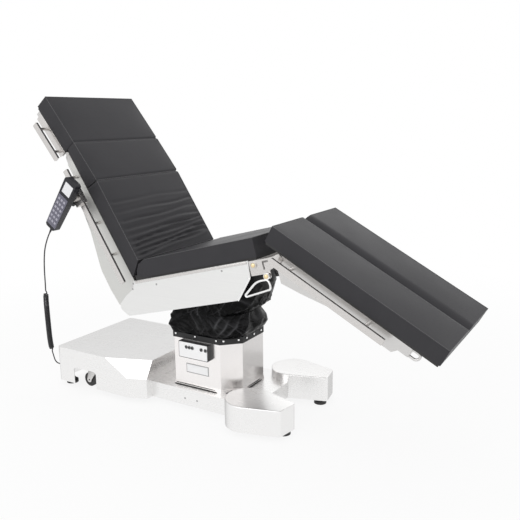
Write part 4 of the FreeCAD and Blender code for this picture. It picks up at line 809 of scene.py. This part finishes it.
def creased_sleeve(name, rings, crease, layers):
    """A tube of crushed cloth through rings.

    A ring is (half_x, half_y, corner, middle, head z, foot z, how much of the crease it takes).
    """
    net = bmesh.new()
    rows, highlight_amounts = [], []
    for layer in range(layers + 1):
        at = layer / layers * (len(rings) - 1)
        below = min(int(at), len(rings) - 2)
        part = at - below
        mixed = [a + (b - a) * part for a, b in zip(rings[below], rings[below + 1])]
        half_x, half_y, corner, middle, head_z, foot_z, fold = mixed
        row = []
        for side in range(SLEEVE_SIDES):
            angle = 2 * math.pi * side / SLEEVE_SIDES
            reach = column_reach(angle, half_x, half_y, corner)
            px, py = reach * math.cos(angle), reach * math.sin(angle)
            height = head_z + (foot_z - head_z) * (px / half_x + 1) / 2
            lift, painted_highlight = creases(angle, height)
            depth = crease * fold * (lift - 0.75)
            shift = 1 + depth / reach
            row.append(net.verts.new((middle + px * shift, py * shift, height - 0.35 * depth)))
            highlight_amounts.append(painted_highlight * min(1.0, fold))
        rows.append(row)
    for lower, upper in zip(rows, rows[1:]):
        for side in range(SLEEVE_SIDES):
            after = (side + 1) % SLEEVE_SIDES
            net.faces.new((lower[side], lower[after], upper[after], upper[side]))
    mesh = mesh_of(net, name)
    mesh.update()
    # painted sheen on what faces up, added to the painted highlight of the ridges
    for index, vertex in enumerate(mesh.vertices):
        painted_sheen_up = max(0.0, min(1.0, (vertex.normal.z - 0.10) / 0.60))
        highlight_amounts[index] = min(1.0, highlight_amounts[index] + 0.42 * painted_sheen_up * painted_sheen_up)
    highlight_mask = mesh.attributes.new("highlight_mask", "FLOAT", "POINT")
    highlight_mask.data.foreach_set("value", highlight_amounts)
    return mesh


# %% [markdown]
# The lower part is sewn to the hem and hangs from the lift above, so it is blended over that
# joint. The upper part rides on the seat. The lower one reaches up inside it, which keeps them
# closed when the seat tilts.

# %% The two parts of the sleeve
HEM_TOP = 0.336
SLEEVE_JOIN = 0.404
bag = [(0.1600, 0.1550, 0.069, 0.000, HEM_TOP - 0.004, HEM_TOP - 0.004, 0.0),
       (0.1670, 0.1610, 0.070, 0.002, 0.344, 0.344, 0.45),
       (0.1750, 0.1650, 0.071, 0.003, 0.362, 0.362, 1.0),
       (0.1740, 0.1630, 0.071, 0.002, 0.382, 0.384, 1.0),
       (0.1660, 0.1550, 0.067, -0.005, SLEEVE_JOIN, SLEEVE_JOIN, 0.9),
       (0.1520, 0.1460, 0.066, 0.000, 0.425, 0.425, 0.4),
       (0.1500, 0.1440, 0.065, 0.000, 0.474, 0.474, 0.0)]
lower_sleeve = link("lower_sleeve", creased_sleeve("lower_sleeve", bag, 0.016, layers=60),
                    SLEEVE, STAND)
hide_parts("bellows")
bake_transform(lower_sleeve)
bag = [(0.1655, 0.1550, 0.067, -0.005, SLEEVE_JOIN - 0.003, SLEEVE_JOIN - 0.003, 0.9),
       (0.1580, 0.1490, 0.066, -0.007, 0.413, 0.429, 1.0),
       (0.1850, 0.1520, 0.050, 0.026, 0.440, 0.470, 1.0),
       (0.1870, 0.1510, 0.046, 0.033, 0.495, 0.548, 0.7),
       (0.1840, 0.1490, 0.044, 0.034, 0.540, 0.625, 0.0)]
upper_sleeve = link("upper_sleeve", creased_sleeve("upper_sleeve", bag, 0.017, layers=80),
                    SLEEVE, STAND)
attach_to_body(upper_sleeve, "seat")
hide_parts("seat_skirt")
print("sleeve of", len(lower_sleeve.data.vertices) + len(upper_sleeve.data.vertices), "points")

# %% [markdown]
# The hem is held by press studs, and the side panels by screws. Both are small domes of metal,
# turned round their axis from a short profile. A screw has a shallow dimple in the middle.

# %% Small turned pieces
TURNED_SIDES = 24
ON_AXIS = 1e-6
HANDS = (("right", -1), ("left", 1))


def turned_mesh(name, profile):
    """A mesh turned round Z from (radius, height) points; an end on the axis is one point."""
    net = bmesh.new()
    rows = []
    for radius, height in profile:
        if radius < ON_AXIS:
            rows.append([net.verts.new((0, 0, height))])
            continue
        angles = [2 * math.pi * side / TURNED_SIDES for side in range(TURNED_SIDES)]
        rows.append([net.verts.new((radius * math.cos(angle), radius * math.sin(angle), height))
                     for angle in angles])
    for lower, upper in zip(rows, rows[1:]):
        for side in range(TURNED_SIDES):
            after = (side + 1) % TURNED_SIDES
            corners = [lower[side % len(lower)], lower[after % len(lower)],
                       upper[after % len(upper)], upper[side % len(upper)]]
            unique = [corner for index, corner in enumerate(corners)
                      if corner not in corners[:index]]
            if len(unique) > 2:
                net.faces.new(unique)
    bmesh.ops.recalc_face_normals(net, faces=net.faces)
    return mesh_of(net, name)


def facing(point, direction):
    """A place at a point whose Z axis runs in the given direction."""
    return moved(*point) @ Vector(direction).to_track_quat("Z", "Y").to_matrix().to_4x4()


def studs(name, places, profile, material, body):
    """One object with the same turned piece at each place."""
    parts = [link("%s_%d" % (name, index), turned_mesh(name, profile), material, place)
             for index, place in enumerate(places)]
    attach(join(parts, name), body)
    print(name, len(places), "pieces")


# side profiles as (radius, height)
STUD = [(0, 0.0022), (0.0022, 0.0020), (0.0040, 0.0012), (0.0046, 0.0), (0.0046, -0.001),
        (0, -0.001)]
SCREW = [(0, 0.0004), (0.0012, 0.0004), (0.0016, 0.0012), (0.0032, 0.0012), (0.0042, 0.0004),
         (0.0042, -0.001), (0, -0.001)]
RING = [(0.0068, 0.0002), (0.0074, 0.0006), (0.0082, 0.0002), (0.0082, -0.0004),
        (0.0068, -0.0004), (0.0068, 0.0002)]
PIN = [(0, 0.0034), (0.0055, 0.0034), (0.0085, 0.0018), (0.0085, -0.001), (0, -0.001)]

HEM_X, HEM_Y, HEM_CORNER, HEM_Z = 0.161, 0.156, 0.0705, 0.325
near_row = [(x, -HEM_Y) for x in (-0.136, -0.035, 0.072)]
slant_row = [(HEM_X - HEM_CORNER * (1 - part), -HEM_Y + HEM_CORNER * part)
             for part in (0.16, 0.80)]
hem_places = []
for side, hand in HANDS:
    for row, direction in ((near_row, (0, hand, 0)), (slant_row, (1, hand, 0))):
        for x, y in row:
            hem_places.append(STAND @ facing((x, -hand * y, HEM_Z), direction))
for y in (-0.058, 0.000, 0.058):
    hem_places.append(STAND @ facing((HEM_X, y, HEM_Z), (1, 0, 0)))
    hem_places.append(STAND @ facing((-HEM_X, y, HEM_Z), (-1, 0, 0)))
studs("hem_studs", hem_places, STUD, BRIGHT_WIRE, "base")

# %% [markdown]
# The control box has five small round buttons with a thin dark ring round each. Below the box a
# bare plate on a darker backing sits on the shroud, and two dark seams run round the shroud's
# foot.

# %% Control box trim and bare plate
def block_mesh(name, size, bevel):
    """A block round the origin with rounded edges."""
    net = bmesh.new()
    bmesh.ops.create_cube(net, size=1.0)
    bmesh.ops.scale(net, vec=size, verts=net.verts)
    bmesh.ops.bevel(net, geom=net.edges[:], offset=bevel, segments=3, profile=0.5,
                    affect="EDGES", clamp_overlap=True)
    return mesh_of(net, name)


def block(name, size, bevel, material, place, body):
    attach(link(name, block_mesh(name, size, bevel), material, place), body)
    print(name, "is", [round(1000 * length, 1) for length in size], "mm")


def seam_ring(name, half_x, half_y, corner, height, thick):
    """A thin dark seam round the foot of the column, following its plan."""
    points = []
    for step in range(SEAM_RING_STEPS):
        angle = 2 * math.pi * step / SEAM_RING_STEPS
        reach = column_reach(angle, half_x, half_y, corner)
        points.append(Vector((reach * math.cos(angle), reach * math.sin(angle), height)))
    ring = link(name, ring_tube(name, points, thick / 2), RUBBER, STAND)
    attach(ring, "base")


SEAM_RING_STEPS = 240
FACE_Y, BUTTON_Z = -0.1755, 0.281
BUTTON_X = [-0.067, -0.0515, -0.036, 0.010, 0.031]
ring_places = [STAND @ facing((x, FACE_Y, BUTTON_Z), (0, -1, 0)) for x in BUTTON_X]
studs("button_rings", ring_places, RING, DARK_PLASTIC, "base")
block("bare_plate", (0.108, 0.0012, 0.034), 0.0004, WHITE_FACE,
      STAND @ moved(-0.0305, -0.1512, 0.178), "base")
block("plate_backing", (0.116, 0.0012, 0.042), 0.0004, SCREW_STEEL,
      STAND @ moved(-0.0305, -0.1502, 0.178), "base")
foot_of_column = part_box("column_shroud")[0][2]
seam_ring("column_foot_seam", 0.1592, 0.1542, 0.0700, foot_of_column + 0.0016, 0.0042)
seam_ring("column_step_seam", 0.1572, 0.1522, 0.0690, foot_of_column + 0.0086, 0.0026)

# %% [markdown]
# The hand control has a dark shell, a pale screen at its top, and a lavender keypad with rows of
# pale keys. They carry no signs. All of it lies on the face that looks away from the table.

# %% Face of the hand control
HANDSET = STAND @ moved(-0.5515, -0.350, 0.874) @ tipped(36)
SCREEN = coated_cloth("pale screen", (0.74, 0.74, 0.76), (0.84, 0.84, 0.85), 0.18, 2000.0, 0.02)
KEYPAD = coated_cloth("keypad sheet", (0.115, 0.112, 0.150), (0.150, 0.145, 0.190),
                      0.42, 1800.0, 0.05)
KEY = coated_cloth("pale keys", (0.34, 0.335, 0.40), (0.44, 0.43, 0.49), 0.40, 1800.0, 0.05)
FRONT = -0.015
KEY_SIZE, KEY_ROWS, KEY_COLUMNS, KEY_STEP, ROW_STEP = 0.0105, 6, 3, 0.0162, 0.0222
block("handset_keypad", (0.057, 0.0016, 0.152), 0.0007, KEYPAD,
      HANDSET @ moved(0, FRONT, -0.034), "handset")
block("handset_screen", (0.047, 0.0016, 0.050), 0.0007, SCREEN,
      HANDSET @ moved(0.002, FRONT, 0.082), "handset")
keys = []
for row in range(KEY_ROWS):
    for column in range(KEY_COLUMNS):
        place = HANDSET @ moved((column - 1) * KEY_STEP, FRONT - 0.0012, 0.024 - row * ROW_STEP)
        key = block_mesh("key", (KEY_SIZE, 0.0016, KEY_SIZE), 0.0006)
        keys.append(link("key_%d_%d" % (row, column), key, KEY, place))
attach(join(keys, "handset_keys"), "handset")
print("keys on the hand control:", len(keys))

# %% [markdown]
# The cord leaves the hand control along its axis, turns into a long curly stretch, and ends in a
# short plain tail that enters the base. The route is a smooth line through a few given points;
# the coil winds round that line.

# %% Route of the cord
def smooth_route(points, samples):
    """Points along a smooth line that starts and ends at the first and last given points."""
    curve, run = curve_through("route", points, "NURBS", samples)
    run.order_u = 3
    run.use_endpoint_u = True
    return [vertex.co.copy() for vertex in curve_mesh(curve).vertices]


def evenly(points, step):
    """The same line with points at even steps."""
    lengths = [0.0]
    for before, after in zip(points, points[1:]):
        lengths.append(lengths[-1] + (after - before).length)
    count = max(2, round(lengths[-1] / step))
    found, index = [], 0
    for number in range(count + 1):
        at = lengths[-1] * number / count
        while index < len(lengths) - 2 and lengths[index + 1] < at:
            index += 1
        span = lengths[index + 1] - lengths[index]
        share = (at - lengths[index]) / span if span > 0 else 0.0
        found.append(points[index].lerp(points[index + 1], share))
    return found, lengths[-1]


EXIT = HANDSET @ Vector((0, 0, -0.125))
DOWN = (HANDSET.to_3x3() @ Vector((0, 0, -1))).normalized()
CORD_POINTS = [(-0.678, -0.352, 0.680), (-0.688, -0.352, 0.632), (-0.694, -0.351, 0.580),
               (-0.697, -0.349, 0.530), (-0.702, -0.346, 0.488)]
COIL_POINTS = [(-0.712, -0.340, 0.440), (-0.722, -0.331, 0.392), (-0.734, -0.320, 0.344),
               (-0.748, -0.307, 0.296), (-0.763, -0.293, 0.248), (-0.777, -0.278, 0.202),
               (-0.789, -0.262, 0.160)]
TAIL_POINTS = [(-0.797, -0.248, 0.126), (-0.804, -0.234, 0.096), (-0.810, -0.208, 0.074),
               (-0.813, -0.176, 0.064), (-0.802, -0.152, 0.062), (-0.790, -0.144, 0.062)]
GLAND = (-0.778, -0.144, 0.062)
start = EXIT + DOWN * 0.030
upper = [start, start + DOWN * 0.022] + [STAND @ Vector(point) for point in CORD_POINTS]
middle = [upper[-1]] + [STAND @ Vector(point) for point in COIL_POINTS]
lower = [middle[-1]] + [STAND @ Vector(point) for point in TAIL_POINTS] + [STAND @ Vector(GLAND)]

# %% [markdown]
# The curly stretch is a helix round its line. Where it begins and ends, the wire leaves the line
# and comes back to it gradually, because a real wire has no sharp bend there. Straight cord, coil
# and tail are then one list of points, drawn as one curve with a round bevel.

# %% Wind the curly stretch and draw the wire
WIRE = 0.0055
COIL_RADIUS = (0.024 - WIRE) / 2
PITCH = 0.0072
OPENING = 0.030
STEPS_PER_TURN = 20


def wind(line, length):
    """A helix round a line; it opens from the line at its start and closes at its end."""
    count = round(length / PITCH * STEPS_PER_TURN)
    side = Vector((0, 1, 0))
    angle = 0.0
    found = []
    for number in range(count + 1):
        share = number / count
        at = share * (len(line) - 1)
        index = min(int(at), len(line) - 2)
        point = line[index].lerp(line[index + 1], at - index)
        ahead = line[min(index + 2, len(line) - 1)] - line[max(index - 1, 0)]
        ahead.normalize()
        side = (side - ahead * side.dot(ahead)).normalized()
        other = ahead.cross(side)
        ease = min(1.0, min(share, 1 - share) * length / OPENING)
        angle += 2 * math.pi / PITCH * length / count * ease * ease
        opened = COIL_RADIUS * ease * ease * (3 - 2 * ease)
        found.append(point + (side * math.cos(angle) + other * math.sin(angle)) * opened)
    return found, angle / (2 * math.pi)


straight, straight_length = evenly(smooth_route(upper, 24), 0.006)
line, line_length = evenly(smooth_route(middle, 40), 0.003)
tail, tail_length = evenly(smooth_route(lower, 24), 0.005)
coil, turns = wind(line, line_length)
wire = straight + coil[1:] + tail[1:]
cord_curve, run = curve_through("cord", wire)
cord_curve.bevel_depth = WIRE / 2
cord_curve.bevel_resolution = 2
cord_curve.use_fill_caps = True
cord_curve.materials.append(CORD_SKIN)
cord = bpy.data.objects.new("hand_control_cord", cord_curve)
bpy.context.collection.objects.link(cord)
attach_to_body(cord, "base")
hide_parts("handset_cord", "cord_coil", "cord_tail")

# %% [markdown]
# A few small fixings show on the side panels: a plate on the upper back, a strip and a bright
# flange on the seat's cover, screws, and the plated pins of the leg's release. The base's centre
# cover has screws too.

# %% Plates, screws and pins
for side, hand in HANDS:
    block("upper_back_plate_" + side, (0.206, 0.0030, 0.036), 0.0010, RAIL_STEEL,
          UPPER_BACK @ moved(0.132, hand * 0.2618, -0.0935), "upper_back")


def both_sides(frame_of, reach, places):
    """Places that face outwards on both sides of a section."""
    return [frame_of @ facing((x, hand * reach, z), (0, hand, 0))
            for side, hand in HANDS for x, z in places]


panel_places = both_sides(SEAT, 0.2702, ((-0.062, -0.090), (-0.072, -0.112),
                                         (0.061, -0.109), (0.394, -0.101)))
studs("panel_screws", panel_places, SCREW, SCREW_STEEL, "seat")
pin_places = []
for side, hand in HANDS:
    for x, y, z in ((0.540, 0.2752, -0.100), (0.590, 0.2842, -0.147)):
        pin_places.append(SEAT @ facing((x, hand * y, z), (0, hand, 0)))
    block("cover_strip_" + side, (0.560, 0.0030, 0.0110), 0.0010, RAIL_STEEL,
          SEAT @ moved(0.232, hand * 0.2715, -0.0865), "seat")
    block("cover_flange_" + side, (0.108, 0.0050, 0.0060), 0.0012, BRIGHT_WIRE,
          SEAT @ moved(0.4755, hand * 0.2725, -0.183) @ tipped(-46.1), "seat")
studs("plated_pins", pin_places, PIN, GOLD_PIN, "seat")
base_places = both_sides(STAND, 0.1872, ((-0.074, 0.053), (-0.011, 0.054)))
studs("cover_screws", base_places, SCREW, SCREW_STEEL, "base")

# %% [markdown]
# The studio is a wide white floor under even light. Light Path makes the world pure white where
# the camera or a reflection sees it, and a little dimmer as a light. The floor glows white in the
# same way, but keeps a share of its own shading near the table, and with it the shadow. Further
# out that share fades away, so that the floor runs into the background without an edge.

# %% Floor and world
def seen_share(tree):
    """1 where the camera, a reflection or a view through glass meets the surface."""
    rays = place_node(tree, "ShaderNodeLightPath")
    seen = math_node(tree, "ADD", rays.outputs["Is Camera Ray"], rays.outputs["Is Glossy Ray"])
    seen = math_node(tree, "ADD", seen, rays.outputs["Is Transmission Ray"])
    return math_node(tree, "MINIMUM", seen, 1.0)


def studio_floor():
    made, tree, shader = finish("studio floor", (0.90, 0.90, 0.90), 0.0, 0.9)
    shader.inputs["Specular IOR Level"].default_value = 0.0
    glow = place_node(tree, "ShaderNodeEmission")
    glow.inputs["Color"].default_value = (1, 1, 1, 1)
    mix = place_node(tree, "ShaderNodeMixShader")
    away = place_node(tree, "ShaderNodeVectorMath", operation="LENGTH")
    feed(tree, place_node(tree, "ShaderNodeTexCoord").outputs["Object"], away.inputs[0])
    fade = place_node(tree, "ShaderNodeMapRange", interpolation_type="SMOOTHSTEP")
    for label, value in (("Value", away.outputs["Value"]), ("From Min", 1.3),
                         ("From Max", 3.2), ("To Min", 0.88), ("To Max", 1.0)):
        feed(tree, value, fade.inputs[label])
    share = math_node(tree, "MULTIPLY", seen_share(tree), fade.outputs["Result"])
    for value, socket in zip((share, shader.outputs[0], glow.outputs[0]), mix.inputs):
        feed(tree, value, socket)
    feed(tree, mix.outputs[0], tree.nodes["Material Output"].inputs["Surface"])
    net = bmesh.new()
    bmesh.ops.create_grid(net, x_segments=8, y_segments=8, size=14.0)
    link("studio_floor", mesh_of(net, "studio_floor"), made)


def studio_world():
    world = bpy.data.worlds.new("studio")
    bpy.context.scene.world = world
    world.use_nodes = True
    tree = world.node_tree
    tree.nodes.clear()
    sky = place_node(tree, "ShaderNodeBackground")
    sky.inputs["Color"].default_value = (1, 1, 1, 1)
    light = 0.82
    strength = math_node(tree, "MULTIPLY_ADD", seen_share(tree), 1 - light, light)
    feed(tree, strength, sky.inputs["Strength"])
    output = place_node(tree, "ShaderNodeOutputWorld")
    feed(tree, sky.outputs[0], output.inputs["Surface"])


studio_floor()
studio_world()
print("studio ready, world", bpy.context.scene.world.name)

# %% [markdown]
# Three large area lamps: a broad key in front of the near side and a little above the table, a
# weak one from the foot end, and one from behind that draws a soft line along the top of the
# cushions. The camera stands where the photographer's stood, found from points of the table in
# the photograph.

# %% Lamps and camera
def softbox(name, place, target, size, power):
    lamp = bpy.data.lights.new(name, "AREA")
    lamp.shape = "RECTANGLE"
    lamp.size, lamp.size_y = size
    lamp.energy = power
    holder = bpy.data.objects.new(name, lamp)
    bpy.context.collection.objects.link(holder)
    holder.location = place
    holder.rotation_mode = "QUATERNION"
    holder.rotation_quaternion = (Vector(target) - Vector(place)).to_track_quat("-Z", "Y")


softbox("key", (-0.7, -3.4, 1.9), (0, 0, 0.6), (3.0, 2.2), 26)
softbox("foot side", (3.0, -1.2, 1.8), (0, 0, 0.5), (1.8, 1.8), 6)
softbox("behind", (-0.6, 3.0, 2.6), (0, 0, 0.7), (3.0, 1.4), 12)

bpy.context.scene.view_settings.view_transform = "Standard"
EYE = Vector((1.5463 + STAND_X, -2.2609 + STAND_Y, 1.2269))
LOOK = Vector((0.1695 + STAND_X, 0.0392 + STAND_Y, 0.6388))
CAMERA_ROLL = math.radians(-0.5)
FOCAL_MM, SENSOR_MM = 45.43, 36
ahead = (LOOK - EYE).normalized()
level = ahead.cross(Vector((0, 0, 1))).normalized()
rise = level.cross(ahead)
right = level * math.cos(CAMERA_ROLL) + rise * math.sin(CAMERA_ROLL)
up = rise * math.cos(CAMERA_ROLL) - level * math.sin(CAMERA_ROLL)
lens = bpy.data.cameras.new("camera")
lens.lens = FOCAL_MM
lens.sensor_width = SENSOR_MM
camera = bpy.data.objects.new("camera", lens)
bpy.context.collection.objects.link(camera)
camera.matrix_world = moved(*EYE) @ Matrix((right, up, -ahead)).transposed().to_4x4()
bpy.context.scene.camera = camera
print("camera at", [round(v, 2) for v in EYE], "with", len(bpy.data.lights), "lamps")
